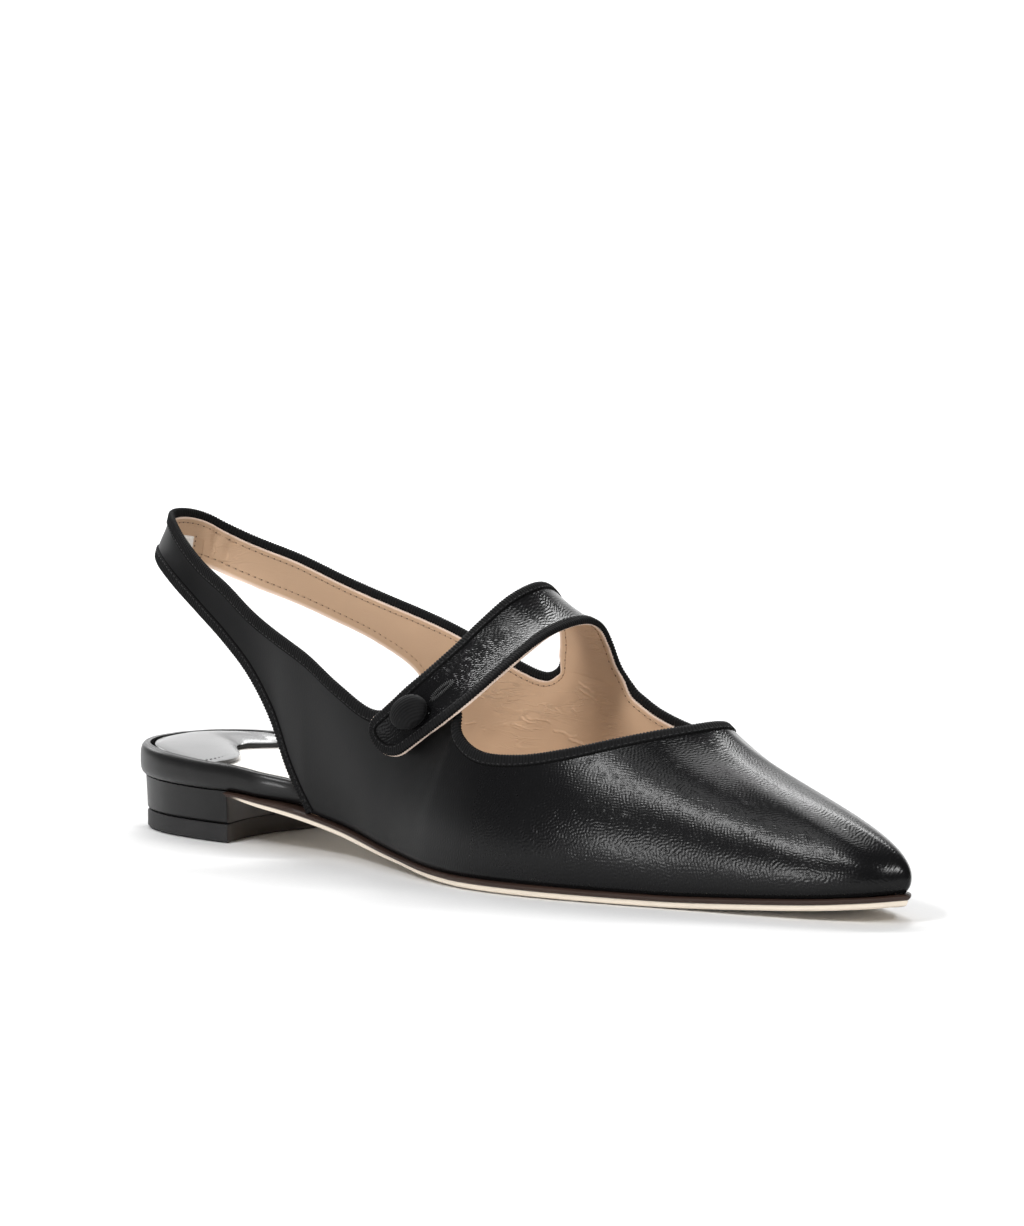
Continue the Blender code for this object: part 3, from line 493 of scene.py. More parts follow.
class UpperSheet:
    """Outer face of the upper: the lasted ring with the instep strap growing from its inner side."""

    def __init__(self):
        ring = lasted_ring()
        self.rows, self.columns = ring.shape[:2]
        first_inner = len(OUTER_RIBS) + len(SLING_RIBS)
        self.root = [COLUMNS_PER_RIB * (first_inner + rib) for rib in STRAP_ROOT_RIBS]
        root_row = [self.at(self.rows - 1, column) for column in range(self.root[0], self.root[1] + 1)]
        ring_points = ring.reshape(-1, 3)
        strap = strap_grid(ring_points[root_row])
        points = np.vstack([ring_points, strap[1:].reshape(-1, 3)])
        numbers = np.arange(strap[1:].shape[0] * strap.shape[1]) + len(ring_points)
        self.strap = np.vstack([[root_row], numbers.reshape(strap.shape[0] - 1, strap.shape[1])])
        self.ring = np.array([[self.at(row, column) for column in range(self.columns + 1)]
                              for row in range(self.rows)])
        self.faces = np.vstack([grid_faces(self.ring), grid_faces(self.strap)])
        self.points = relax(points, self.faces, SMOOTHING_ROUNDS, SMOOTHING_SHARE)
        self.normals = sheet_normals(self.points, self.faces)
        self.tree = BVHTree.FromPolygons(self.points.tolist(), self.faces.tolist())
        self.on_strap = np.zeros(len(self.points))
        strap_share = ease(np.arange(len(self.strap)), (0, STRAP_ROOT_SHARE * ROWS_PER_STRAP_STEP))
        self.on_strap[self.strap] = strap_share[:, None]

    def at(self, row, column):
        """Vertex number of a ring point."""
        return row * self.columns + column % self.columns

    def topline(self):
        """The open edge from the throat round the sling and out along the strap, with points inside it."""
        top, below = self.rows - 1, self.rows - 2
        start, end = self.root
        last = len(self.strap) - 1
        edge = [(self.at(top, column), self.at(below, column)) for column in range(start)]
        edge.append((self.at(top, start), self.at(below, start + 1)))
        edge += [(self.strap[row][0], self.strap[row][1]) for row in range(1, last)]
        edge.append((self.strap[last][0], self.strap[last - 1][1]))
        edge += [(self.strap[last][column], self.strap[last - 1][column])
                 for column in range(1, len(self.strap[0]) - 1)]
        edge.append((self.strap[last][-1], self.strap[last - 1][-2]))
        edge += [(self.strap[row][-1], self.strap[row][-2]) for row in range(last - 1, 0, -1)]
        edge.append((self.at(top, end), self.at(below, end - 1)))
        edge += [(self.at(top, column), self.at(below, column)) for column in range(end + 1, self.columns)]
        return np.array(edge)

    def sling_edge(self):
        """The lower edge of the sling, from the outer quarter's heel end to the inner quarter's."""
        first = COLUMNS_PER_RIB * (len(OUTER_RIBS) - 1)
        last = COLUMNS_PER_RIB * (len(OUTER_RIBS) + len(SLING_RIBS))
        return np.array([(self.at(0, column), self.at(1, column)) for column in range(first, last + 1)])

    def lay(self, points):
        """Nearest places on the sheet, with its normals there."""
        found = [self.tree.find_nearest(Vector(point)) for point in points]
        places = np.array([hit[0] for hit in found])
        corners = self.faces[[hit[2] for hit in found]]
        return places, unit(self.normals[corners].mean(axis=1))


@functools.lru_cache(maxsize=1)
def upper_sheet():
    """The one sheet that every piece of the upper is cut from."""
    return UpperSheet()


def elastic_window(sheet):
    """First and last rows and columns of the opening in the lining that shows the elastic."""
    rows = [round(share * (sheet.rows - 1)) for share in ELASTIC_ROW_SHARES]
    columns = [round(COLUMNS_PER_RIB * (len(OUTER_RIBS) + rib)) for rib in ELASTIC_RIBS]
    return rows, columns


def blur(values, reach, closed):
    """Smooth rows of values along a path with a bell of the given reach in rows."""
    span = int(3 * reach) + 1
    bell = np.exp(-0.5 * (np.arange(-span, span + 1) / reach) ** 2)
    bell /= bell.sum()
    padded = np.pad(values, ((span, span), (0, 0)), mode="wrap" if closed else "edge")
    return np.column_stack([np.convolve(column, bell, mode="valid") for column in padded.T])


class SheetEdge:
    """An edge of the sheet at even stations, with the ways along it, into the sheet and out of it."""

    SOFTEN = 0.0013

    def __init__(self, sheet, pairs, closed, spacing):
        self.sheet, self.closed = sheet, closed
        outer, inside = pairs[:, 0], pairs[:, 1]
        rows = np.column_stack([sheet.points[outer], sheet.points[inside], sheet.normals[outer],
                                sheet.on_strap[outer]])
        if closed:
            rows = np.vstack([rows, rows[:1]])
        run = np.concatenate([[0.0], np.cumsum(np.linalg.norm(np.diff(rows[:, :3], axis=0), axis=1))])
        count = round(run[-1] / spacing)
        self.length = run[-1]
        self.run = np.linspace(0, run[-1], count, endpoint=not closed)
        rows = np.column_stack([np.interp(self.run, run, column) for column in rows.T])
        soft = blur(rows, self.SOFTEN / spacing, closed)
        if not closed:
            soft[[0, -1]] = rows[[0, -1]]
        self.path = soft[:, :3]
        self.strap = soft[:, 9:10]
        if closed:
            self.along = unit(np.roll(self.path, -1, axis=0) - np.roll(self.path, 1, axis=0))
        else:
            self.along = unit(np.gradient(self.path, axis=0))
        into = blur(unit(soft[:, 3:6] - self.path), self.SOFTEN / spacing, closed)
        self.into = unit(part_across(into, self.along))
        self.out = unit(part_across(part_across(soft[:, 6:9], self.along), self.into))

    def place(self, inward, lift):
        """Points a way in from the edge, or beyond it, lifted off the sheet, and the normals there."""
        inward = np.zeros((len(self.path), 1)) + inward
        straight = self.path + self.into * inward
        places, normals = self.sheet.lay(straight)
        beyond = inward < MERGE_DISTANCE
        places = np.where(beyond, straight, places)
        normals = np.where(beyond, self.out, normals)
        return places + normals * lift, normals


def wall_of(points, faces, normals, outer, inner):
    """Closed wall between two offsets of a sheet, with each open edge walled."""
    count = len(points)
    vertices = np.vstack([points + normals * outer, points + normals * inner])
    pairs, uses = edges_of(faces)
    single = {tuple(pair) for pair in pairs[uses == 1]}
    directed = np.concatenate([faces[:, [place, (place + 1) % 4]] for place in range(4)])
    rims = [(b, a, a + count, b + count) for a, b in directed if (min(a, b), max(a, b)) in single]
    return vertices, np.vstack([faces, faces[:, ::-1] + count, np.array(rims)])


def tube_of(loops, closed):
    """Closed body through loops of equal count, joined end to end or capped."""
    stations, sides = loops.shape[:2]
    number = np.arange(stations * sides).reshape(stations, sides)
    wrapped = np.column_stack([number, number[:, :1]])
    if closed:
        wrapped = np.vstack([wrapped, wrapped[:1]])
    faces = grid_faces(wrapped)[:, ::-1].tolist()
    if not closed:
        faces.append(number[0, ::-1].tolist())
        faces.append(number[-1].tolist())
    return loops.reshape(-1, 3), faces


def side_normals(outer, inner):
    """Plan normals of both sides of an outline, turned to one direction where the sides meet."""
    outer_turn, inner_turn = np.gradient(outer, axis=0), np.gradient(inner, axis=0)
    outer_normal = unit(np.column_stack([outer_turn[:, 1], -outer_turn[:, 0]]))
    inner_normal = unit(np.column_stack([-inner_turn[:, 1], inner_turn[:, 0]]))
    meet = np.linalg.norm(outer - inner, axis=1) < MERGE_DISTANCE
    outer_normal[meet] = unit((outer_normal + inner_normal)[meet])
    inner_normal[meet] = outer_normal[meet]
    return outer_normal, inner_normal


def slab(first, last, layers, across, stations):
    """Closed body on the outline in layers of (inset, height) from below, and each point's layer number.

    first and last give the outline row where each line across the foot starts and ends.
    """
    share = np.linspace(0, 1, across + 1)
    starts, ends = first(share), last(share)
    grids = []
    for inset, height in layers:
        lines = []
        for s, start, end in zip(share, starts, ends):
            at = np.linspace(start, end, stations)
            outer, inner = outline_side(OUTER, at), outline_side(INNER, at)
            outer_normal, inner_normal = side_normals(outer, inner)
            outer = outer - outer_normal * inset(outer[:, :1])
            inner = inner - inner_normal * inset(inner[:, :1])
            plan = outer * (1 - s) + inner * s
            lines.append(np.column_stack([plan, height(plan[:, 0])]))
        grids.append(np.stack(lines, axis=1))
    points = np.array(grids)
    layer_size = points.shape[1] * points.shape[2]
    index = np.arange(layer_size).reshape(points.shape[1], points.shape[2])
    border = np.concatenate([index[0, :-1], index[:-1, -1], index[-1, :0:-1], index[:0:-1, 0]])
    bottom = grid_faces(index)
    faces = [bottom, bottom[:, ::-1] + (len(layers) - 1) * layer_size]
    for layer in range(len(layers) - 1):
        low, high = border + layer * layer_size, border + (layer + 1) * layer_size
        faces.append(np.stack([low, np.roll(low, -1), np.roll(high, -1), high], axis=-1))
    number = np.repeat(np.arange(len(layers)), layer_size)
    return points.reshape(-1, 3), np.vstack(faces), number


def constant(value):
    """A function that gives the same value everywhere."""
    return lambda place: np.zeros_like(place, dtype=float) + value


def breast_rows(share):
    """Outline row of the hollow heel breast across the foot."""
    return BREAST_ROW - BREAST_HOLLOW_ROWS * (1 - (2 * share - 1) ** 2)


def insole_base(x):
    """Underside of the insole."""
    return sole_height(x, 1) + GAP


def insole_height(x):
    """Thickness of the insole: a deep seat at the heel, thin inside the upper."""
    return SEAT_HEIGHT + (FOREFOOT_HEIGHT - SEAT_HEIGHT) * ease(x, RIM_FALLS)


def rim_height(x):
    """Height of the wrapped rim, which rises over the seat towards the back of the heel."""
    return insole_height(x) + RIM_RISE * (1 - ease(x, RIM_RISE_SPAN))


def insole_floor(x):
    """Tray inside the insole's lip, where the sock lies."""
    return insole_base(x) + insole_height(x) - LIP_DEPTH * (1 - ease(x, LIP_FADES))


def insole_inset(extra, lip=0.0):
    """Inset from the outline: flush at the heel, inside the upper further on, where the lip ends."""
    return lambda x: extra + INSOLE_INSET * ease(x, INSET_GROWS) + lip * (1 - ease(x, LIP_FADES))


@functools.lru_cache(maxsize=1)
def pattern_origin():
    """Where the pattern's origin, the middle of the back of the seat, lies in the frame."""
    lift_low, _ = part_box("top_lift")
    sole_low, sole_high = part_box("outsole")
    at = steps(0, len(OUTLINE) - 1, OUTLINE_STEPS_PER_ROW)
    low, high = outline_side(OUTER, at)[:, 1].min(), outline_side(INNER, at)[:, 1].max()
    return np.array([lift_low.x - BLOCK_INSET_BOTTOM, (sole_low.y + sole_high.y - low - high) / 2, 0.0])


class Socket:
    """A socket of a node tree; arithmetic on it adds Math nodes."""

    def __init__(self, graph, socket):
        self.graph, self.socket = graph, socket

    def math(self, operation, *values):
        """One Math node on these values."""
        return self.graph.node("ShaderNodeMath", {"operation": operation}, dict(enumerate(values)))[0]

    def __add__(self, other):
        return self.math("ADD", self, other)

    __radd__ = __add__

    def __sub__(self, other):
        return self.math("SUBTRACT", self, other)

    def __rsub__(self, other):
        return self.math("SUBTRACT", other, self)

    def __mul__(self, other):
        return self.math("MULTIPLY", self, other)

    __rmul__ = __mul__

    def __truediv__(self, other):
        return self.math("DIVIDE", self, other)

    def size(self):
        """The value without its sign."""
        return self.math("ABSOLUTE", self)

    def sine(self):
        """Sine of the value in radians."""
        return self.math("SINE", self)


class Outputs:
    """A node's outputs by name or number."""

    def __init__(self, graph, node):
        self.graph, self.made = graph, node

    def __getitem__(self, key):
        return Socket(self.graph, self.made.outputs[key])


class Graph:
    """A node tree filled by type, settings and socket values."""

    # Numbers of the Mix node's sockets, which share their names: first, second, result
    MIX_SOCKETS = {"VECTOR": (4, 5, 1), "RGBA": (6, 7, 2)}

    def __init__(self, tree):
        self.tree = tree

    def node(self, kind, settings=None, sockets=None):
        """Add a node: its settings first, then its sockets' values or links."""
        made = self.tree.nodes.new(kind)
        for name, value in (settings or {}).items():
            setattr(made, name, value)
        for key, value in (sockets or {}).items():
            self.feed(made.inputs[key], value)
        return Outputs(self, made)

    def feed(self, target, value):
        """Link a socket or set its value."""
        if isinstance(value, Socket):
            self.tree.links.new(value.socket, target)
        else:
            target.default_value = value

    def vector(self, operation, *values):
        """One Vector Math node."""
        return self.node("ShaderNodeVectorMath", {"operation": operation}, dict(enumerate(values)))

    def scaled(self, vector, factor):
        """A vector times a number."""
        sockets = {0: vector, "Scale": factor}
        return self.node("ShaderNodeVectorMath", {"operation": "SCALE"}, sockets)[0]

    def mix(self, share, one, other, kind="RGBA"):
        """Mix two colours, or two vectors, by a share."""
        first, second, result = self.MIX_SOCKETS[kind]
        sockets = {"Factor": share, first: one, second: other}
        return self.node("ShaderNodeMix", {"data_type": kind}, sockets)[result]


class Finish(Graph):
    """A material with a Principled shader and the textures that its maker asks for."""

    RIPPLES_PER_CELL = 2.0
    # Number of the Gabor node's socket for a flat orientation, which shares its name with another
    FLAT_ORIENTATION = 4
    LINE_FADE = 0.14

    def __init__(self, name, **constants):
        self.material = bpy.data.materials.new(name)
        self.material.use_nodes = True
        super().__init__(self.material.node_tree)
        self.shader = self.tree.nodes["Principled BSDF"]
        for key, value in constants.items():
            self.input(key).default_value = value
        self.spot = self.node("ShaderNodeTexCoord")["Object"]

    def input(self, key):
        """The shader's socket by its plain name."""
        label = "Specular IOR Level" if key == "specular" else key.replace("_", " ").title()
        return self.shader.inputs[label]

    def noise(self, scale, detail=2.0, roughness=0.5, distortion=0.0, output=0):
        """Soft noise from 0 to 1, its scale in repeats a metre, given once or for each axis."""
        where = self.spot
        if isinstance(scale, tuple):
            where = self.node("ShaderNodeMapping", None, {"Vector": where, "Scale": scale})[0]
            scale = 1.0
        sockets = {"Vector": where, "Scale": scale, "Detail": detail, "Roughness": roughness,
                   "Distortion": distortion}
        return self.node("ShaderNodeTexNoise", None, sockets)[output]

    def clouds(self, scale):
        """Soft patches from 0 to 1."""
        return self.noise(scale, detail=3.0, roughness=0.6)

    def cells(self, scale):
        """Distance to the nearest of scattered points."""
        sockets = {"Vector": self.spot, "Scale": scale}
        return self.node("ShaderNodeTexVoronoi", None, sockets)["Distance"]

    def ripples(self, pitch, directed, turn):
        """Fine ripples on the unrolled side of the shoe, all one way where directed is 1."""
        axes = self.node("ShaderNodeSeparateXYZ", None, {0: self.spot})
        up = axes["Z"] - axes["Y"].size()
        flat = self.node("ShaderNodeCombineXYZ", None, {"X": axes["X"], "Y": up})[0]
        sockets = {"Vector": flat, "Scale": 1 / (pitch * self.RIPPLES_PER_CELL),
                   "Frequency": self.RIPPLES_PER_CELL, "Anisotropy": directed, self.FLAT_ORIENTATION: turn}
        return self.node("ShaderNodeTexGabor", {"gabor_type": "2D"}, sockets)["Value"]

    def line(self, place, start, end, width):
        """1 on a line between two points, falling to 0 at a width beside it and at its ends."""
        run = end - start
        offset = self.vector("SUBTRACT", place, tuple(start))[0]
        share = self.vector("DOT_PRODUCT", offset, tuple(run / (run @ run)))["Value"]
        share = self.node("ShaderNodeClamp", None, {"Value": share})[0]
        away = self.vector("DISTANCE", offset, self.scaled(tuple(run), share))["Value"]
        ends = self.between(share * (1 - share), 0.0, self.LINE_FADE)
        return (1 - self.between(away, 0.0, width)) * ends

    def attribute(self, name):
        """A number stored on the mesh."""
        return self.node("ShaderNodeAttribute", {"attribute_name": name})["Fac"]

    def between(self, value, low, high):
        """0 to 1 as the value goes from low to high, eased."""
        sockets = {"Value": value, "From Min": low, "From Max": high}
        return self.node("ShaderNodeMapRange", {"interpolation_type": "SMOOTHSTEP"}, sockets)[0]

    def set(self, **values):
        """Feed the shader's sockets."""
        for key, value in values.items():
            self.feed(self.input(key), value)

    def bump(self, height, distance, strength=1.0):
        """Feed the shader's normal from a height from 0 to 1 that is this many metres deep."""
        sockets = {"Height": height, "Distance": distance, "Strength": strength}
        self.set(normal=self.node("ShaderNodeBump", None, sockets)[0])


def shade(colour, factor):
    """A colour made darker or lighter, with full alpha."""
    return (*[channel * factor for channel in colour[:3]], 1.0)


def nappa():
    """Black grained leather of the upper: ripples on the vamp, crinkles on the strap, a smooth quarter."""
    colour = bpy.context.scene.pump_colours.leather
    paint = Finish("black_nappa", specular=0.18, coat_roughness=0.30)
    grain, crinkle = paint.attribute("grain"), paint.attribute("crinkle")
    ripple = paint.ripples(pitch=0.00090, directed=0.40, turn=-0.5)
    pebble = paint.noise(2200, distortion=0.4)
    pores = paint.noise(5200, roughness=0.6)
    clouds = paint.clouds(38)
    paint.bump((grain + crinkle * 1.5) * ripple + pebble * 0.12 + pores * 0.08, 0.000072)
    paint.set(base_color=paint.mix(clouds, shade(colour, 0.75), shade(colour, 1.3)),
              roughness=0.42 - 0.20 * grain - 0.21 * crinkle + 0.04 * (clouds - 0.5) + 0.03 * pebble,
              coat_weight=0.02 * grain + 0.02 * crinkle)
    return paint.material


def grosgrain():
    """Black ribbed ribbon: matt, with a fine weave between the ribs and a near-black band beside it: a
    painted shadow along its hem, with the sewn line.
    """
    colour = bpy.context.scene.pump_colours.ribbon
    paint = Finish("black_grosgrain", specular=0.14, sheen_weight=0.02, sheen_roughness=0.4)
    weave = paint.noise(6500, roughness=0.6)
    wear = paint.noise(160)
    rib, seam = paint.attribute("rib"), paint.attribute("seam")
    paint.bump(weave, 0.00006, 0.6)
    # Painted shading of the ribs: crests painted lighter and the troughs between them darker, mixed with
    # the weave
    cloth = paint.mix(rib * 0.7 + weave * 0.3, shade(colour, 0.25), shade(colour, 1.7))
    # Painted shadow: the seam rows beyond the hem are painted near black, a shadow along the hem with its
    # sewn line
    paint.set(base_color=paint.mix(seam, cloth, shade(colour, 0.12)),
              roughness=0.64 + 0.16 * wear + 0.2 * seam)
    return paint.material


def lining_leather():
    """Tan lining: faint mottling, fine pores, a paler raw edge and folds whose crests carry a painted
    highlight.
    """
    colours, sizes = bpy.context.scene.pump_colours, bpy.context.scene.pump_sizes
    paint = Finish("tan_lining", specular=0.35)
    clouds = paint.clouds(45)
    pores = paint.noise(4200, roughness=0.6)
    wander, crest_width = 0.0026, 0.00055
    drift = paint.noise(190, output="Color")
    drift = paint.vector("MULTIPLY_ADD", drift, (wander,) * 3, (-wander / 2,) * 3)[0]
    place = paint.vector("ADD", paint.spot, drift)[0]
    crests = 0.0
    for row in LINING_CREASES:
        points, normals = upper_sheet().lay(np.array([row[0:3], row[3:6]]) * MM)
        start, end = points - normals * sizes.lining + pattern_origin()
        crests = crests + paint.line(place, start, end, crest_width)
    wrinkle = paint.noise((70, 70, 420), detail=2.5, roughness=0.55, distortion=1.2)
    fine = 1 - paint.between((wrinkle - 0.5).size(), 0.0, 0.04)
    patches = paint.between(paint.noise(70), 0.42, 0.60)
    folds = crests + fine * patches * paint.attribute("soft") * 0.5
    raw = paint.attribute("raw")
    paint.bump(pores * 0.10 + wrinkle * 0.25 + folds, 0.00028, 0.8)
    skin = paint.mix(clouds, shade(colours.lining, 0.84), shade(colours.lining, 1.10))
    skin = paint.mix(paint.between(pores, 0.35, 0.75), skin, colours.lining)
    # Painted highlight: the fold crests and fine wrinkles are painted paler than the lining
    skin = paint.mix(folds * 0.35, skin, shade(colours.lining, 1.5))
    paint.set(base_color=paint.mix(raw, skin, colours.lining_edge), roughness=0.46 + 0.16 * clouds)
    return paint.material


def sole_leather():
    """Pale sole: a dressed edge with a dark line along its top, dark at the waist, scuffed underneath."""
    colours = bpy.context.scene.pump_colours
    paint = Finish("pale_sole_leather", specular=0.4)
    fibres = paint.noise((300, 300, 2600), detail=3.0, roughness=0.6, distortion=0.3)
    clouds = paint.clouds(60)
    scuff = paint.noise((40, 220, 40), detail=4.0, roughness=0.65, distortion=0.6)
    stain, under = paint.attribute("stain"), paint.attribute("under")
    pale = paint.mix(clouds * 0.6 + fibres * 0.4, shade(colours.sole, 0.88), shade(colours.sole, 1.06))
    worn = paint.mix(under * paint.between(scuff, 0.52, 0.72) * 0.5, pale, shade(colours.sole, 0.62))
    dark = paint.mix(clouds, shade(colours.sole_line, 0.7), shade(colours.sole_line, 1.5))
    paint.bump(fibres * 0.7 + scuff * under * 0.3, 0.00012, 0.5)
    # Painted shadow: the dark band on top of the edge is dye, widened to take in the shadow of the gap
    # under the upper
    paint.set(base_color=paint.mix(stain, worn, dark), roughness=0.50 + 0.14 * clouds - 0.06 * stain)
    return paint.material


def smooth_leather(name, colour, roughness, grain):
    """Smooth black cover with the finest grain, for the heel, its rim, the lift and the pad."""
    paint = Finish(name, specular=0.24, coat_roughness=0.16)
    clouds = paint.clouds(70)
    pores = paint.noise(2600, roughness=0.55)
    waves = paint.noise(130)
    paint.bump(pores * grain + waves * 0.9, 0.00016, 0.45)
    cover = paint.mix(clouds, shade(colour, 0.75), shade(colour, 1.35))
    # Painted light: the breast face is painted lighter, standing in for light that its face, turned to the
    # shaded floor, does not get
    breast = shade(bpy.context.scene.pump_colours.breast, 1.0)
    paint.set(base_color=paint.mix(paint.attribute("breast"), cover, breast),
              roughness=roughness + 0.12 * (clouds - 0.5) + 0.04 * pores,
              coat_weight=max(0.0, 0.55 - roughness) * (0.8 + 0.4 * clouds))
    return paint.material


def sock_leather():
    """White sock leather with a soft grain and a faint yellowing."""
    colour = bpy.context.scene.pump_colours.sock
    paint = Finish("white_sock", specular=0.35)
    clouds = paint.clouds(40)
    paint.bump(paint.cells(1500), 0.00008, 0.4)
    warm = (colour[0], colour[1] * 0.97, colour[2] * 0.92, 1.0)
    paint.set(base_color=paint.mix(clouds, warm, colour), roughness=0.42 + 0.15 * clouds)
    return paint.material


def elastic_web():
    """White elastic: ribs in the mesh, a fine knit in the finish."""
    colour = bpy.context.scene.pump_colours.elastic
    paint = Finish("white_elastic", specular=0.2, sheen_weight=0.2)
    knit = paint.noise((2400, 2400, 900), roughness=0.6)
    paint.bump(knit, 0.00012, 0.7)
    web = paint.mix(knit, shade(colour, 0.72), colour)
    facing = shade(bpy.context.scene.pump_colours.lining, 0.95)
    paint.set(base_color=paint.mix(paint.attribute("faced"), web, facing), roughness=0.8 + 0.1 * knit)
    return paint.material


def thread(name, colour, roughness):
    """Twisted sewing thread."""
    paint = Finish(name, specular=0.4, sheen_weight=0.15)
    twist = paint.noise(7000, roughness=0.6)
    paint.bump(twist, 0.00005, 0.6)
    paint.set(base_color=paint.mix(twist, shade(colour, 0.7), shade(colour, 1.2)),
              roughness=roughness + 0.1 * twist)
    return paint.material


def studio_floor():
    """Pale paper sweep with the faintest tooth."""
    paint = Finish("white_sweep", specular=0.1)
    tooth = paint.noise(900)
    paint.bump(tooth, 0.00005, 0.1)
    paint.set(base_color=paint.mix(tooth, (0.74, 0.74, 0.74, 1), (0.78, 0.78, 0.78, 1)), roughness=0.85)
    return paint.material


def add_mesh(name, vertices, faces, attributes=None, edges=()):
    """An object whose mesh lies in the frame, with numbers or vectors stored on its vertices."""
    mesh = bpy.data.meshes.new(name)
    faces = faces.tolist() if isinstance(faces, np.ndarray) else faces
    mesh.from_pydata((np.asarray(vertices) + pattern_origin()).tolist(), list(edges), faces)
    for key, values in (attributes or {}).items():
        values = np.asarray(values, float)
        kind = "FLOAT_VECTOR" if values.ndim == 2 else "FLOAT"
        layer = mesh.attributes.new(key, kind, "POINT")
        layer.data.foreach_set("vector" if values.ndim == 2 else "value", values.ravel())
    piece = bpy.data.objects.new(name, mesh)
    bpy.context.scene.collection.objects.link(piece)
    return piece


def close_up(piece, sharp_degrees):
    """Merge doubles, drop slivers, turn faces outwards and smooth the round stretches."""
    edit = bmesh.new()
    edit.from_mesh(piece.data)
    bmesh.ops.remove_doubles(edit, verts=edit.verts, dist=MERGE_DISTANCE)
    bmesh.ops.dissolve_degenerate(edit, dist=MERGE_DISTANCE, edges=edit.edges)
    bmesh.ops.recalc_face_normals(edit, faces=edit.faces)
    if edit.calc_volume(signed=True) < 0:
        bmesh.ops.reverse_faces(edit, faces=edit.faces)
    edit.to_mesh(piece.data)
    edit.free()
    piece.data.shade_smooth()
    piece.data.set_sharp_from_angle(angle=math.radians(sharp_degrees))
    return piece


def settle(piece, slot, *nodes, material=None):
    """Give a finished piece its material and body and hide the solids that it stands for; its slot is not
    used.
    """
    if material:
        piece.data.materials.clear()
        piece.data.materials.append(material)
    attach(piece, BODY)
    if nodes:
        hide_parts(*nodes)
    return piece


def node_group(name, inputs):
    """A Geometry Nodes tree with a geometry input, named inputs and a geometry output."""
    tree = bpy.data.node_groups.new(name, "GeometryNodeTree")
    tree.interface.new_socket("Geometry", in_out="INPUT", socket_type="NodeSocketGeometry")
    tree.interface.new_socket("Geometry", in_out="OUTPUT", socket_type="NodeSocketGeometry")
    for label, kind in inputs:
        tree.interface.new_socket(label, in_out="INPUT", socket_type=f"NodeSocket{kind}")
    return Graph(tree)


def keep_result(piece):
    """Keep what the modifiers make of a piece as its plain mesh."""
    depsgraph = bpy.context.evaluated_depsgraph_get()
    made = bpy.data.meshes.new_from_object(piece.evaluated_get(depsgraph))
    piece.modifiers.clear()
    old = piece.data
    piece.data = made
    made.name = piece.name
    bpy.data.meshes.remove(old)
    return piece


def bake(piece, graph, values):
    """Run a tree on a piece with these named values and keep its result."""
    modifier = piece.modifiers.new("nodes", "NODES")
    modifier.node_group = graph.tree
    for item in graph.tree.interface.items_tree:
        if item.in_out == "INPUT" and item.name in values:
            modifier[item.identifier] = values[item.name]
    return keep_result(piece)


def stored(graph, name, kind="FLOAT"):
    """A number or a vector stored on a tree's geometry."""
    return graph.node("GeometryNodeInputNamedAttribute", {"data_type": kind}, {"Name": name})[0]


def hand_out(graph, geometry, material):
    """Realize a tree's instances, set their material and put them out."""
    whole = graph.node("GeometryNodeRealizeInstances", None, {"Geometry": geometry})[0]
    painted = graph.node("GeometryNodeSetMaterial", None, {"Geometry": whole, "Material": material})[0]
    graph.node("NodeGroupOutput", None, {0: painted})


@functools.lru_cache(maxsize=1)
def rib_tree():
    """Ribs raised across a ribbon by the sine of its own 'along' number."""
    graph = node_group("ribs_across", [("Pitch", "Float"), ("Depth", "Float"), ("Material", "Material")])
    given = graph.node("NodeGroupInput")
    wave = (stored(graph, "along") * (2 * math.pi) / given["Pitch"]).sine()
    normal = graph.node("GeometryNodeInputNormal")[0]
    offset = graph.scaled(normal, wave * stored(graph, "weight") * given["Depth"])
    settings = {"data_type": "FLOAT", "domain": "POINT"}
    sockets = {"Geometry": given["Geometry"], "Name": "rib", "Value": wave * 0.5 + 0.5}
    marked = graph.node("GeometryNodeStoreNamedAttribute", settings, sockets)[0]
    raised = graph.node("GeometryNodeSetPosition", None, {"Geometry": marked, "Offset": offset})[0]
    hand_out(graph, raised, given["Material"])
    return graph


@functools.lru_cache(maxsize=1)
def stitch_tree():
    """Stitches laid along a line, or across it, each facing out of the surface."""
    graph = node_group("stitch_run", [("Pitch", "Float"), ("Length", "Float"), ("Radius", "Float"),
                                      ("Across", "Float"), ("Material", "Material")])
    given = graph.node("NodeGroupInput")
    line = graph.node("GeometryNodeMeshToCurve", None, {"Mesh": given["Geometry"]})[0]
    sockets = {"Curve": line, "Length": given["Pitch"]}
    marks = graph.node("GeometryNodeResampleCurve", {"mode": "LENGTH"}, sockets)[0]
    ball = graph.node("GeometryNodeMeshUVSphere", None, {"Segments": 6, "Rings": 5, "Radius": 1.0})[0]
    half = graph.node("ShaderNodeCombineXYZ", None,
                      {0: given["Length"] * 0.5, 1: given["Radius"], 2: given["Radius"] * 0.75})[0]
    stitch = graph.node("GeometryNodeTransform", None, {"Geometry": ball, "Scale": half})[0]
    stitch = graph.node("GeometryNodeSetShadeSmooth", None, {"Geometry": stitch})[0]
    tangent = graph.node("GeometryNodeInputTangent")[0]
    facing = stored(graph, "facing", "FLOAT_VECTOR")
    sideways = graph.vector("CROSS_PRODUCT", facing, tangent)[0]
    way = graph.mix(given["Across"], tangent, sideways, "VECTOR")
    turned = graph.node("FunctionNodeAlignRotationToVector", {"axis": "X"}, {"Vector": way})[0]
    turned = graph.node("FunctionNodeAlignRotationToVector", {"axis": "Z", "pivot_axis": "X"},
                        {"Rotation": turned, "Vector": facing})[0]
    placed = graph.node("GeometryNodeInstanceOnPoints", None,
                        {"Points": marks, "Instance": stitch, "Rotation": turned})[0]
    hand_out(graph, placed, given["Material"])
    return graph


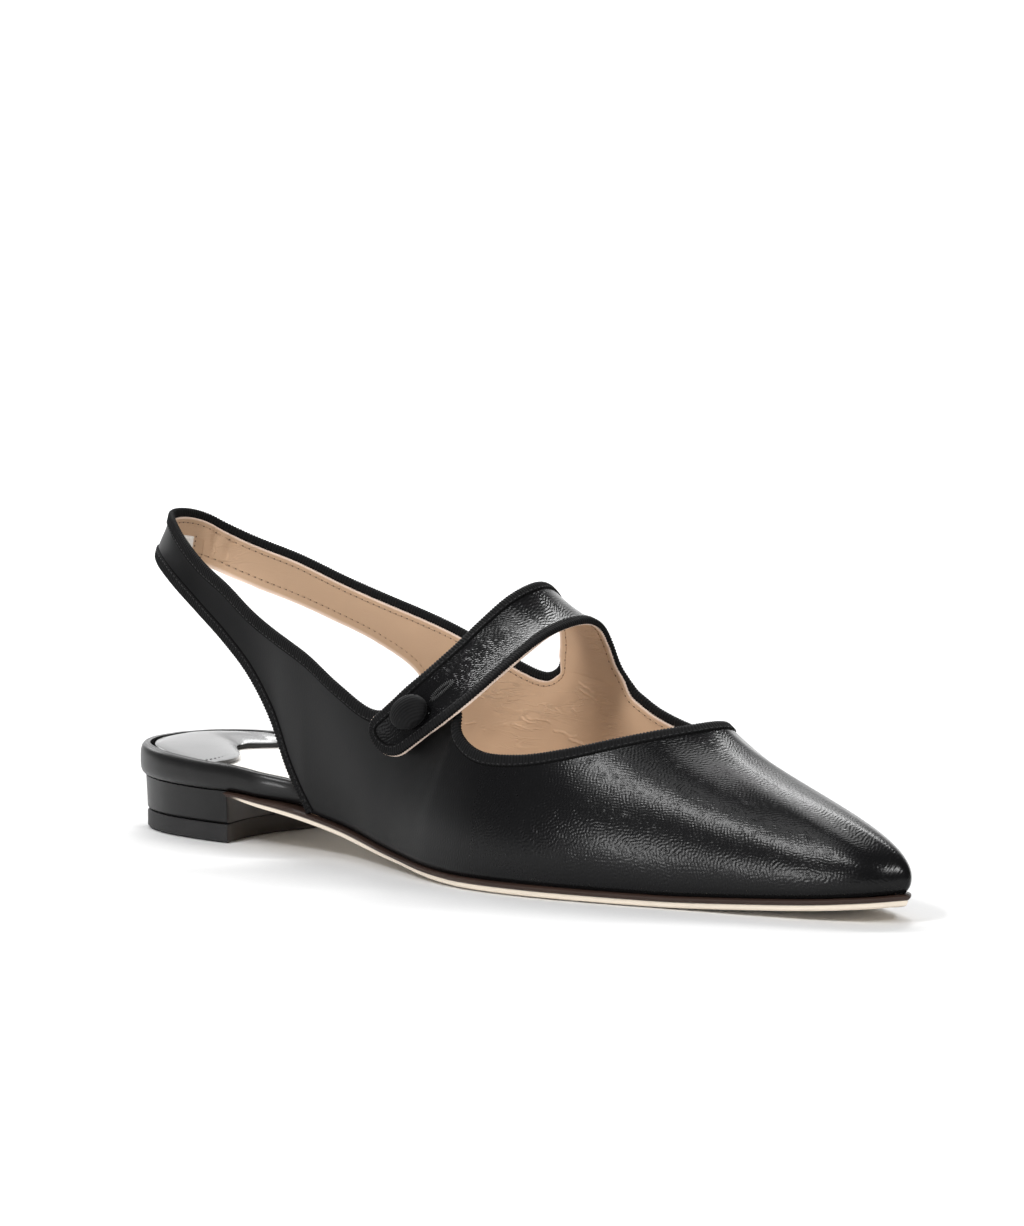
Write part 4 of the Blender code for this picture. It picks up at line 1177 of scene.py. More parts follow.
def sew(name, lines, material, pitch, length, radius, slot, across=0.0):
    """One piece of stitches along lines, each given as points, facings and whether it closes."""
    vertices, facings, edges = [], [], []
    for points, facing, closed in lines:
        start = len(vertices)
        vertices += list(points)
        facings += list(facing)
        count = len(points)
        links = count if closed else count - 1
        edges += [(start + step, start + (step + 1) % count) for step in range(links)]
    piece = add_mesh(name, vertices, [], {"facing": facings}, edges)
    values = {"Pitch": pitch, "Length": length, "Radius": radius, "Across": across, "Material": material}
    bake(piece, stitch_tree(), values)
    return settle(piece, slot)


def number_setting(label, words, value, unit="LENGTH"):
    """A length, or another number with a unit, that the user can change."""
    return bpy.props.FloatProperty(name=label, description=words, default=value, unit=unit)


def power_setting(label, words, value):
    """The power of a light, which the user can change."""
    return number_setting(label, f"Power of the {words}", value, "POWER")


def colour_setting(label, words, value):
    """A colour that the user can change."""
    return bpy.props.FloatVectorProperty(name=label, description=words, default=(*value, 1.0), size=4,
                                         subtype="COLOR", min=0.0, max=1.0)


class PumpSizes(bpy.types.PropertyGroup):
    """Sizes of the pump's soft pieces."""

    leather: number_setting("Leather", "Thickness of the outer leather", 0.00085)
    lining: number_setting("Lining", "Depth of the lining's inner face in the wall", 0.0015)
    ribbon_width: number_setting("Ribbon", "Width of the ribbon outside the edge", 0.0020)
    ribbon_on_strap: number_setting("Ribbon on strap", "Width of the strap's ribbon", 0.0015)
    ribbon_inside: number_setting("Ribbon inside", "Width of the ribbon inside the edge", 0.0013)
    ribbon_thickness: number_setting("Ribbon thickness", "Thickness of the ribbon", 0.00034)
    rib_pitch: number_setting("Rib pitch", "Distance between the ribbon's ribs", 0.00085)
    rib_depth: number_setting("Rib depth", "Height of the ribbon's ribs", 0.00011)
    stitch_pitch: number_setting("Stitch pitch", "Distance between stitches", 0.0020)
    stitch_length: number_setting("Stitch length", "Length of a stitch that shows", 0.0014)
    thread_radius: number_setting("Thread radius", "Half the thread's width", 0.00016)


class PumpColours(bpy.types.PropertyGroup):
    """Colours of the pump's materials."""

    leather: colour_setting("Leather", "Outer leather", (0.0048, 0.0048, 0.0052))
    ribbon: colour_setting("Ribbon", "Ribbon binding and covered button", (0.0045, 0.0045, 0.0048))
    lining: colour_setting("Lining", "Lining", (0.50, 0.335, 0.215))
    lining_edge: colour_setting("Lining edge", "Raw edge of the lining", (0.86, 0.69, 0.58))
    lining_thread: colour_setting("Lining thread", "Thread of the lining's stitches", (0.44, 0.29, 0.18))
    sole: colour_setting("Sole", "Dressed edge and underside of the sole", (0.98, 0.87, 0.73))
    # The sole line is edge dye and also a painted shadow of the gap under the upper
    sole_line: colour_setting("Sole line", "Dark line on top of the sole's edge", (0.030, 0.015, 0.010))
    heel: colour_setting("Heel", "Heel block, rim and top lift", (0.0050, 0.0049, 0.0050))
    # Painted light: lighter than the heel, standing in for light on the breast's shaded face
    breast: colour_setting("Breast", "Bare front face of the heel", (0.075, 0.065, 0.058))
    pad: colour_setting("Pad", "Glossy heel pad", (0.0040, 0.0040, 0.0045))
    sock: colour_setting("Sock", "White sock", (0.94, 0.93, 0.91))
    elastic: colour_setting("Elastic", "Elastic in the sling", (0.92, 0.90, 0.86))


class PumpStage(bpy.types.PropertyGroup):
    """Strength of the studio's lights."""

    sky: number_setting("Sky", "Even light from all round", 0.12, "NONE")
    overhead: power_setting("Overhead", "softbox above", 11.0)
    crown: power_setting("Crown", "small softbox over the vamp", 1.7)
    backdrop: power_setting("Backdrop", "light on the sweep behind", 100.0)
    side_high: power_setting("Side high", "high softbox on the outer side", 7.5)
    side_low: power_setting("Side low", "low softbox on the outer side", 4.0)
    rear_high: power_setting("Rear high", "high softbox behind the vamp", 5.8)
    back: power_setting("Back", "softbox behind the heel", 3.0)
    front: power_setting("Front", "softbox before the toe", 6.0)


class PieceOperator:
    """What every operator of the pump has in common."""

    bl_options = {"REGISTER", "UNDO"}


class PUMP_OT_upper(PieceOperator, bpy.types.Operator):
    """Cut the outer leather of the vamp, quarters, sling and strap from the lasted sheet"""

    bl_idname = "pump.upper"
    bl_label = "Outer leather"

    GRAIN_SPAN = (0.118, 0.165)
    GRAIN_ON_QUARTER = 0.12

    def execute(self, context):
        sheet, sizes = upper_sheet(), context.scene.pump_sizes
        points = crease(sheet, sheet.points, sheet.normals, 0.0, STRAP_CREASES)
        height = points[:, 2] - sole_height(points[:, 0], 1)
        ring = np.zeros(len(points))
        ring[sheet.ring.ravel()] = 1
        tuck = np.clip(1 - height / TUCK_HEIGHT, 0, 1) ** 2 * ring
        points = points - sheet.normals * (tuck * TUCK_DEPTH)[:, None]
        vertices, faces = wall_of(points, sheet.faces, sheet.normals, 0.0, -sizes.leather)
        vamp = ease(sheet.points[:, 0], self.GRAIN_SPAN) * (1 - sheet.on_strap)
        grain = self.GRAIN_ON_QUARTER + (1 - self.GRAIN_ON_QUARTER) * vamp
        attributes = {"grain": np.tile(grain, 2), "crinkle": np.tile(sheet.on_strap, 2)}
        piece = close_up(add_mesh("upper_leather", vertices, faces, attributes), 60)
        settle(piece, "black_leather", "upper", material=nappa())
        return {"FINISHED"}


class PUMP_OT_lining(PieceOperator, bpy.types.Operator):
    """Lay the tan lining inside the leather: short of the topline, past the strap's and sling's edges"""

    bl_idname = "pump.lining"
    bl_label = "Lining"

    SPACING = 0.0004
    EDGE_CLEARANCE = 0.00012
    STRAP_BLUR = 6
    STRAP_REAR_INSET = -0.0010
    STRAP_FRONT_INSET = -0.0002
    STRAP_TIP_INSET = -0.00065
    TIP_SPAN = (-0.012, 0.004)
    SLING_INSET = -0.0010
    FALLOFF = 0.008
    RAW_WIDTH = 0.0009
    SOFT_SPANS = ((0.080, 0.090), (0.135, 0.145))
    SOFT_BACK = (0.008, 0.020)

    def execute(self, context):
        sheet, sizes = upper_sheet(), context.scene.pump_sizes
        moved, raw = sheet.points.copy(), np.zeros(len(sheet.points))
        pulled = np.zeros(len(sheet.points))
        topline = SheetEdge(sheet, sheet.topline(), True, self.SPACING)
        wide = sizes.ribbon_inside + self.EDGE_CLEARANCE
        on_tip = 1 - ease(topline.path[:, 1], self.TIP_SPAN)
        front = self.STRAP_FRONT_INSET + (self.STRAP_TIP_INSET - self.STRAP_FRONT_INSET) * on_tip
        on_strap = np.where(topline.into[:, 0] > 0, self.STRAP_REAR_INSET, front)
        on_strap = blur(on_strap[:, None], self.STRAP_BLUR, True)[:, 0]
        top_inset = wide + (on_strap - wide) * topline.strap[:, 0]
        sling = SheetEdge(sheet, sheet.sling_edge(), False, self.SPACING)
        for edge, inset in ((topline, top_inset), (sling, np.full(len(sling.path), self.SLING_INSET))):
            tree = KDTree(len(edge.path))
            for number, place in enumerate(edge.path):
                tree.insert(Vector(place), number)
            tree.balance()
            found = [tree.find(Vector(point)) for point in sheet.points]
            number = np.array([hit[1] for hit in found])
            away = np.array([hit[2] for hit in found])
            share = np.clip(1 - away / self.FALLOFF, 0, 1) ** 2
            moved += edge.into[number] * (inset[number] * share)[:, None]
            pulled += inset[number] * share
            raw = np.maximum(raw, 1 - ease(away, (0, self.RAW_WIDTH)))
        places, normals = sheet.lay(moved)
        beyond = pulled[:, None] < 0
        places = np.where(beyond, moved, places)
        normals = np.where(beyond, sheet.normals, normals)
        near, far = -sizes.leather - LAYER_CLEARANCE, -sizes.lining
        inner = crease(sheet, places + normals * far, -normals, far, LINING_CREASES)
        places = inner - normals * far
        rows, columns = elastic_window(sheet)
        row, column = np.divmod(np.arange((sheet.rows - 1) * sheet.columns), sheet.columns)
        window = (row >= rows[0]) & (row < rows[1]) & (column >= columns[0]) & (column < columns[1])
        kept = np.concatenate([~window, np.ones(len(sheet.faces) - len(window), bool)])
        raw[sheet.ring[rows[0]:rows[1] + 1, columns[0]]] = 1
        vertices, faces = wall_of(places, sheet.faces[kept], normals, near, far)
        x = sheet.points[:, 0]
        soft = ease(x, self.SOFT_SPANS[0]) * (1 - ease(x, self.SOFT_SPANS[1])) * (sheet.points[:, 1] > 0)
        soft = np.maximum(soft, 1 - ease(x, self.SOFT_BACK))
        attributes = {"raw": np.tile(raw, 2), "soft": np.tile(soft, 2)}
        piece = close_up(add_mesh("upper_lining", vertices, faces, attributes), 60)
        settle(piece, "sock_leather", material=lining_leather())
        return {"FINISHED"}


class PUMP_OT_ribbons(PieceOperator, bpy.types.Operator):
    """Fold ribbed ribbon over the topline, the strap and the sling's lower edge"""

    bl_idname = "pump.ribbons"
    bl_label = "Ribbon bindings"

    SPACING = 0.00018
    LEG_SHARES = (0.96, 0.06)
    LEG_STEPS = 7
    FOLD_STEPS = 6
    INSIDE_SHARES = (0.5, 0.95)
    HEM_SHARE = 0.6
    STRAP_INSIDE = 0.00008
    SLING_INSIDE = 0.00008
    FOLD_REACH = 0.0008
    # A near-black flange beyond the hem, flat on the leather: a painted shadow along the ribbon's hem, with
    # its sewn line
    SEAM_SHADOW_WIDTH = 0.00042
    SEAM_SHADOW_FOOT = (0.00006, 0.00005)
    SEAM_SHADOW_ROWS = 2
    PLAIN_ROWS = 3
    WALL_CLEARANCE = 0.00003

    def section(self, edge, width, inside, wall, thickness):
        """Loops of the ribbon's section at every station, from the outer hem over the fold to the inner."""
        hem = thickness * self.HEM_SHARE
        outside_leg = [(width + self.SEAM_SHADOW_WIDTH, LAYER_CLEARANCE),
                       (width + self.SEAM_SHADOW_FOOT[0], self.SEAM_SHADOW_FOOT[1]),
                       (width, hem)]
        shares = np.linspace(*self.LEG_SHARES, self.LEG_STEPS)
        outside_leg += [(width * share, thickness) for share in shares]
        inside_leg = [(inside * share, -wall - thickness) for share in self.INSIDE_SHARES]
        inside_leg += [(inside, -wall - hem), (inside, -wall - self.WALL_CLEARANCE)]
        rows = [edge.place(inward, lift)[0] for inward, lift in outside_leg]
        middle, radius = -wall / 2, wall / 2 + thickness
        for angle in np.linspace(90, -90, self.FOLD_STEPS):
            turn = math.radians(angle)
            rows.append(edge.path - edge.into * (math.cos(turn) * self.FOLD_REACH)
                        + edge.out * (middle + math.sin(turn) * radius))
        rows += [edge.place(inward, lift)[0] for inward, lift in inside_leg]
        rows.append(edge.path - edge.out * (wall + self.WALL_CLEARANCE))
        rows.append(edge.path + edge.out * self.WALL_CLEARANCE)
        return np.stack(rows, axis=1)

    def execute(self, context):
        sheet, sizes = upper_sheet(), context.scene.pump_sizes
        black = grosgrain()
        for name, pairs, closed, node in (("ribbon_topline", sheet.topline(), True, "binding_topline"),
                                          ("ribbon_sling", sheet.sling_edge(), False, "binding_sling")):
            edge = SheetEdge(sheet, pairs, closed, self.SPACING)
            if closed:
                inside = sizes.ribbon_inside + (self.STRAP_INSIDE - sizes.ribbon_inside) * edge.strap
            else:
                inside = np.full((len(edge.path), 1), self.SLING_INSIDE)
            width = sizes.ribbon_width + (sizes.ribbon_on_strap - sizes.ribbon_width) * edge.strap
            loops = self.section(edge, width, inside, sizes.leather, sizes.ribbon_thickness)
            vertices, faces = tube_of(loops, closed)
            sides = loops.shape[1]
            # The seam rows carry the painted shadow along the hem
            weight, seam = np.zeros(sides), np.zeros(sides)
            weight[self.SEAM_SHADOW_ROWS:sides - self.PLAIN_ROWS] = 1
            seam[:self.SEAM_SHADOW_ROWS] = 1
            attributes = {"along": np.repeat(edge.run, sides), "weight": np.tile(weight, len(edge.run)),
                          "seam": np.tile(seam, len(edge.run))}
            piece = close_up(add_mesh(name, vertices, faces, attributes), 70)
            pitch = edge.length / round(edge.length / sizes.rib_pitch)
            bake(piece, rib_tree(), {"Pitch": pitch, "Depth": sizes.rib_depth, "Material": black})
            settle(piece, "black_ribbon", node)
        return {"FINISHED"}


class PUMP_OT_stitches(PieceOperator, bpy.types.Operator):
    """Sew the ribbon to the leather and the lining to the ribbon"""

    bl_idname = "pump.stitches"
    bl_label = "Stitches"

    SPACING = 0.0005
    RIBBON_HEM = 0.0003
    LINING_HEM = 0.0015
    RIBBON_STITCH = 0.8
    LINING_THREAD = 1.2
    # Painted shadows of the needle holes: their length and thread as shares of a stitch's, and their shift
    # in stations along the line
    HOLE_LENGTH = 0.45
    HOLE_THREAD = 1.1
    HOLE_SHIFT = 2

    def execute(self, context):
        sheet, sizes = upper_sheet(), context.scene.pump_sizes
        colours = context.scene.pump_colours
        topline = SheetEdge(sheet, sheet.topline(), True, self.SPACING)
        sling = SheetEdge(sheet, sheet.sling_edge(), False, self.SPACING)
        black = thread("black_thread", shade(colours.ribbon, 1.2), 0.55)
        tan = thread("tan_thread", colours.lining_thread, 0.6)
        # Painted shadow: dark marks beside each tan stitch stand in for the shade in its needle holes
        hole_shadow = thread("stitch_hole", shade(colours.lining, 0.22), 0.9)
        outside = []
        for edge in (topline, sling):
            width = sizes.ribbon_width + (sizes.ribbon_on_strap - sizes.ribbon_width) * edge.strap
            outside.append((*edge.place(width - self.RIBBON_HEM, sizes.ribbon_thickness), edge.closed))
        pitch, length, radius = sizes.stitch_pitch, sizes.stitch_length, sizes.thread_radius
        fine = self.RIBBON_STITCH
        sew("stitches_ribbon", outside, black, pitch * fine, length * fine, radius * fine, "black_ribbon")
        inset = sizes.ribbon_inside * (1 - topline.strap) + self.LINING_HEM
        lines = []
        for edge, inward in ((topline, inset), (sling, self.LINING_HEM)):
            points, normals = edge.place(inward, -sizes.lining - STITCH_LIFT)
            lines.append((points, -normals, edge.closed))
        sew("stitches_lining", lines, tan, pitch, length, radius * self.LINING_THREAD, "sock_leather")
        shifted = []
        for points, facing, closed in lines:
            if closed:
                points, facing = (np.roll(rows, self.HOLE_SHIFT, axis=0) for rows in (points, facing))
            else:
                points, facing = points[self.HOLE_SHIFT:], facing[self.HOLE_SHIFT:]
            shifted.append((points, facing, closed))
        sew("stitches_lining_holes", shifted, hole_shadow, pitch, length * self.HOLE_LENGTH,
            radius * self.HOLE_THREAD, "sock_leather")
        return {"FINISHED"}


class PUMP_OT_button(PieceOperator, bpy.types.Operator):
    """Make the ribbed covered button, its shank and the sewn buttonhole beside it"""

    bl_idname = "pump.button"
    bl_label = "Button and buttonhole"

    SIDES = 72
    RINGS = 26
    SHANK_SHARE = 0.22
    SHANK_DEPTH = 0.0030
    # Under the dome: share of the button's half size, share of its edge's height
    UNDERSIDE = ((0.86, 0.0), (0.97, 0.3))
    TOP_SHARE = 0.02
    RIB_PITCH = 0.00080
    RIB_DEPTH = 0.00009
    RIB_BOW = 40.0
    RIBS_FROM_BELOW = (0.0, 0.0, 0.0, 0.6)
    HOLE_STEPS = (8.95, 9.75)
    HOLE_HALF_WIDTH = 0.0008
    HOLE_POINTS = 60
    HOLE_LIFT = 0.00010
    HOLE_PITCH = 0.00046
    HOLE_STITCH = 0.0013
    HOLE_THREAD = 1.1

    def around(self, count):
        """Angles of points spaced evenly round a ring."""
        return np.linspace(0, 2 * math.pi, count, endpoint=False)[:, None]

    def execute(self, context):
        sheet, sizes = upper_sheet(), context.scene.pump_sizes
        colours = context.scene.pump_colours
        row = round(BUTTON_STEP * ROWS_PER_STRAP_STEP)
        column = round(BUTTON_SHARE * (len(sheet.strap[0]) - 1))
        spot, nearer_root = (sheet.strap[place][column] for place in (row, row - ROWS_PER_STRAP_STEP // 2))
        centre, axis = sheet.points[spot], sheet.normals[spot]
        along = unit(part_across(sheet.points[nearer_root] - centre, axis))
        side = np.cross(axis, along)
        profile = [(self.SHANK_SHARE, -self.SHANK_DEPTH), (self.SHANK_SHARE, BUTTON_LIFT)]
        profile += [(share, BUTTON_LIFT + BUTTON_EDGE * rise) for share, rise in self.UNDERSIDE]
        for angle in np.linspace(0, math.pi / 2, self.RINGS)[:-1]:
            profile.append((math.cos(angle), BUTTON_LIFT + BUTTON_EDGE + BUTTON_DOME * math.sin(angle)))
        profile.append((self.TOP_SHARE, BUTTON_LIFT + BUTTON_EDGE + BUTTON_DOME))
        turns = self.around(self.SIDES)
        tilt = math.radians(BUTTON_TURN)
        length = along * math.cos(tilt) + side * math.sin(tilt)
        width = side * math.cos(tilt) - along * math.sin(tilt)
        round_about = np.cos(turns) * length * BUTTON_HALF_LENGTH
        round_about += np.sin(turns) * width * BUTTON_HALF_WIDTH
        loops = np.stack([centre + round_about * radius + axis * height for radius, height in profile])
        vertices, faces = tube_of(loops, False)
        offset = vertices - centre
        across, down = offset @ side, offset @ along
        weight = np.ones(len(profile))
        weight[:len(self.RIBS_FROM_BELOW)] = self.RIBS_FROM_BELOW
        attributes = {"along": across + self.RIB_BOW * down ** 2, "weight": np.repeat(weight, self.SIDES)}
        piece = close_up(add_mesh("strap_button", vertices, faces, attributes), 60)
        black = bpy.data.materials["black_grosgrain"]
        bake(piece, rib_tree(), {"Pitch": self.RIB_PITCH, "Depth": self.RIB_DEPTH, "Material": black})
        settle(piece, "black_ribbon", "button")

        first, last = (round(step * ROWS_PER_STRAP_STEP) for step in self.HOLE_STEPS)
        start, end = sheet.points[sheet.strap[first][column]], sheet.points[sheet.strap[last][column]]
        middle, way = (start + end) / 2, unit(end - start)
        reach = np.linalg.norm(end - start) / 2
        width = np.cross(sheet.normals[sheet.strap[first][column]], way)
        turns = self.around(self.HOLE_POINTS)
        ring = middle + np.cos(turns) * way * reach + np.sin(turns) * width * self.HOLE_HALF_WIDTH
        places, normals = sheet.lay(ring)
        floss = thread("black_floss", shade(colours.ribbon, 0.9), 0.5)
        lines = [(places + normals * self.HOLE_LIFT, normals, True)]
        sew("stitches_buttonhole", lines, floss, self.HOLE_PITCH, self.HOLE_STITCH,
            sizes.thread_radius * self.HOLE_THREAD, "black_ribbon", across=1.0)
        return {"FINISHED"}


class PUMP_OT_sole(PieceOperator, bpy.types.Operator):
    """Cut the leather sole with a round dressed edge and a dark line on top"""

    bl_idname = "pump.sole"
    bl_label = "Sole"

    # Profile of the sole's edge from below: inset in mm, share of the thickness, dark band, dark band at
    # the waist; the band is edge dye and also a painted shadow of the gap under the upper
    EDGE_PROFILE = (
        (3.2, 0.00, 0.0, 0.0),
        (1.6, 0.01, 0.0, 0.0),
        (0.6, 0.05, 0.0, 0.0),
        (0.15, 0.14, 0.0, 0.0),
        (0.0, 0.28, 0.0, 0.0),
        (-0.05, 0.42, 0.0, 0.0),
        (-0.1, 0.50, 0.0, 0.6),
        (-0.1, 0.53, 0.6, 1.0),
        (-0.4, 0.57, 1.0, 1.0),
        (-0.8, 0.72, 1.0, 1.0),
        (-0.8, 0.90, 1.0, 1.0),
        (-0.4, 1.00, 1.0, 1.0),
        (1.5, 1.00, 1.0, 1.0),
    )
    WAIST_STARTS = (0.046, 0.062)
    WAIST_ENDS = (0.092, 0.122)
    WAIST_ROUND = 0.35
    WAIST_DROP = 0.0008
    UNDER_LAYERS = 3
    COVERED = (0.002, 0.006)
    ACROSS = 20
    STATIONS = 240

    def waist(self, x):
        """1 along the arched waist of the sole, 0 before and behind it."""
        return ease(x, self.WAIST_STARTS) * (1 - ease(x, self.WAIST_ENDS))

    def layer(self, inset, share):
        """One layer of the sole: at the waist its lower edge is squarer and hangs a little lower."""
        def inwards(x):
            return inset * MM * (1 - (1 - self.WAIST_ROUND) * self.waist(x) * (inset > 0))
        return inwards, lambda x: sole_height(x, share) - self.WAIST_DROP * self.waist(x) * (1 - share)

    def execute(self, context):
        def start(share):
            return breast_rows(share) + SOLE_START_ROWS

        layers = [self.layer(inset, share) for inset, share, _, _ in self.EDGE_PROFILE]
        end = constant(len(OUTLINE) - 1)
        vertices, faces, number = slab(start, end, layers, self.ACROSS, self.STATIONS)
        stain, waist_dye_and_gap_shadow = np.array(self.EDGE_PROFILE)[number, 2:].T
        stain = stain + (waist_dye_and_gap_shadow - stain) * (1 - ease(vertices[:, 0], self.WAIST_ENDS))
        tip = outline_side(OUTER, np.array([BREAST_ROW + SOLE_START_ROWS]))[0, 0]
        covered = 1 - ease(vertices[:, 0] - tip, self.COVERED)
        stain = np.maximum(stain, covered * (number >= self.UNDER_LAYERS))
        attributes = {"stain": stain, "under": (number < self.UNDER_LAYERS) * 1.0}
        piece = close_up(add_mesh("sole", vertices, faces, attributes), 50)
        settle(piece, "sole_leather", "outsole", material=sole_leather())
        return {"FINISHED"}


class PUMP_OT_heel(PieceOperator, bpy.types.Operator):
    """Cover the heel block and seat it on the top lift"""

    bl_idname = "pump.heel"
    bl_label = "Heel"

    ROUND = 0.0005
    LIFT_TOP_ROUND = 0.0003
    BLOCK_SHARES = (0.2, 0.36, 0.52, 0.68, 0.84, 1.0)
    BEVEL = 0.0004
    BEVEL_SEGMENTS = 3
    BEVEL_DEGREES = 50
    ACROSS = 24
    STATIONS = 90

    def block_layers(self):
        """Layers of the block from its rounded foot to the sole's seat."""
        low = TOP_LIFT_HEIGHT + GAP
        foot = low + self.ROUND

        def level(share):
            return lambda x: foot + (sole_height(x, 1) - foot) * share

        layers = [(constant(BLOCK_INSET_BOTTOM + self.ROUND), constant(low)),
                  (constant(BLOCK_INSET_BOTTOM), constant(foot))]
        for share in self.BLOCK_SHARES:
            inset = BLOCK_INSET_BOTTOM + (BLOCK_INSET_TOP - BLOCK_INSET_BOTTOM) * share
            layers.append((constant(inset), level(share)))
        return layers

    def lift_layers(self):
        """Layers of the top lift, rounded at the floor and under the block."""
        profile = ((self.ROUND, 0.0), (0.0, self.ROUND), (0.0, TOP_LIFT_HEIGHT - self.ROUND),
                   (self.LIFT_TOP_ROUND, TOP_LIFT_HEIGHT))
        return [(constant(BLOCK_INSET_BOTTOM + inset), constant(height)) for inset, height in profile]

    def execute(self, context):
        colours = context.scene.pump_colours
        cover = smooth_leather("heel_cover", colours.heel, 0.42, 0.5)
        rubber = smooth_leather("lift_rubber", shade(colours.heel, 5.0), 0.56, 1.0)
        for name, layers, slot, node, material in (
                ("heel_block_cover", self.block_layers(), "heel_cover", "heel_block", cover),
                ("heel_top_lift", self.lift_layers(), "lift_rubber", "top_lift", rubber)):
            vertices, faces, _ = slab(constant(0), breast_rows, layers, self.ACROSS, self.STATIONS)
            station, side = np.divmod(np.arange(len(vertices)), self.ACROSS + 1)
            inside = (side > 0) & (side < self.ACROSS)
            # Marks the breast face, which is painted lighter
            attributes = {"breast": (inside & (station % self.STATIONS == self.STATIONS - 1)) * 1.0}
            piece = close_up(add_mesh(name, vertices, faces, attributes), 40)
            bevel = piece.modifiers.new("round_corners", "BEVEL")
            bevel.width = self.BEVEL
            bevel.segments = self.BEVEL_SEGMENTS
            bevel.limit_method = "ANGLE"
            bevel.angle_limit = math.radians(self.BEVEL_DEGREES)
            settle(keep_result(piece), slot, node, material=material)
        return {"FINISHED"}


class PUMP_OT_insole(PieceOperator, bpy.types.Operator):
    """Wrap the insole's rim, lay the white sock in it and the glossy pad on the sock"""

    bl_idname = "pump.insole"
    bl_label = "Insole, sock and pad"

    # Section of the wrapped rim from below: inset in mm, share of its height
    RIM_PROFILE = (
        (1.6, 0.00),
        (1.0, 0.02),
        (0.45, 0.09),
        (0.12, 0.20),
        (0.0, 0.36),
        (0.0, 0.60),
        (0.10, 0.78),
        (0.40, 0.91),
        (0.85, 0.98),
        (1.2, 1.00),
    )
    # Lip inside the rim: share of its slope, share of its width, rise over the rim in mm
    LIP_PROFILE = (
        (0.5, 0.5, -0.12),
        (0.7, 0.6, 0.05),
        (1.0, 1.0, 0.0),
    )
    # Section of the pad from below: inset in mm, share of its thickness
    PAD_PROFILE = (
        (0.0, 0.0),
        (0.0, 0.45),
        (0.0, 0.80),
        (0.15, 0.92),
        (0.5, 0.98),
        (1.4, 1.0),
    )
    ACROSS = 16
    RIM_STATIONS = 220
    SOCK_STATIONS = 200
    SOCK_SIDE = 0.7
    PAD_ACROSS = 60
    PAD_STATIONS = 130
    STITCH_INSET_ROWS = 0.12
    STITCH_SHARES = (0.06, 0.94)
    STITCH_POINTS = 90
    STITCH_PITCH = 0.9
    STITCH_LENGTH = 0.8
    STITCH_SUNK = 0.4

    def pad_ends(self, share):
        """Outline row of the pad's front edge across the foot, an S from the outer to the inner side."""
        swing = (1 + np.tanh((share - PAD_CURVE_AT) / PAD_CURVE_WIDTH)) / 2
        wing = PAD_WING_ROWS * ease(share, PAD_WING_SPAN)
        return PAD_ROWS[0] + (PAD_ROWS[1] - PAD_ROWS[0]) * swing + wing

    def pad_base(self, x):
        """Underside of the pad, on the sock."""
        return insole_floor(x) + SOCK_THICKNESS + PAD_CLEAR_OF_SOCK

    def pad_thickness(self, x, forward, side):
        """Thickness of the pad: up to the rim's top, thin at its front edge, climbing on the inner side."""
        full = insole_base(x) + rim_height(x) - self.pad_base(x)
        climb = ease(side, PAD_CLIMB_SPAN) * (1 - forward ** PAD_CLIMB_TAPER)
        return PAD_EDGE + (full - PAD_EDGE) * np.maximum(1 - forward ** PAD_TAPER, climb)

    def pad_crown(self, forward, side):
        """Swell of the pad's top over its middle."""
        return PAD_CROWN * np.sqrt(16 * forward * (1 - forward) * side * (1 - side))

    def rim_layers(self):
        """Layers of the wrapped rim, over its lip and down to the tray inside it."""
        def level(share, rise=0.0):
            return lambda x: insole_base(x) + rim_height(x) * share + rise

        layers = [(insole_inset(inset * MM), level(share)) for inset, share in self.RIM_PROFILE]
        for slope, width, rise in self.LIP_PROFILE:
            inset = insole_inset(RIM_ROUND + LIP_SLOPE * slope, LIP_WIDTH * width)
            layers.append((inset, level(1.0, rise * MM)))
        return layers + [(insole_inset(TRAY_INSET, LIP_WIDTH), insole_floor)]

    def sock_layers(self):
        """Layers of the sock in the tray, its upper edge rounded."""
        profile = ((GAP, LAYER_CLEARANCE),
                   (GAP, SOCK_THICKNESS * self.SOCK_SIDE),
                   (2 * GAP, SOCK_THICKNESS))
        return [(insole_inset(TRAY_INSET + inset, LIP_WIDTH), lambda x, rise=rise: insole_floor(x) + rise)
                for inset, rise in profile]

    def pad_layers(self):
        """Layers of the pad, all on the sock until its thickness is added."""
        insets = [TRAY_INSET + PAD_CLEARANCE + inset * MM for inset, _ in self.PAD_PROFILE]
        return [(insole_inset(inset, LIP_WIDTH), self.pad_base) for inset in insets]

    def execute(self, context):
        colours, sizes = context.scene.pump_colours, context.scene.pump_sizes
        cover = smooth_leather("rim_leather", colours.heel, 0.40, 0.5)
        gloss = smooth_leather("pad_gloss", colours.pad, 0.20, 0.35)
        for name, layers, end, stations, slot, node, material in (
                ("insole_rim", self.rim_layers(), INSOLE_END_ROW, self.RIM_STATIONS,
                 "black_leather", "insole", cover),
                ("sock", self.sock_layers(), SOCK_END_ROW, self.SOCK_STATIONS,
                 "sock_leather", "foot_sock", sock_leather())):
            vertices, faces, _ = slab(constant(0), constant(end), layers, self.ACROSS, stations)
            piece = close_up(add_mesh(name, vertices, faces), 50)
            settle(piece, slot, node, material=material)

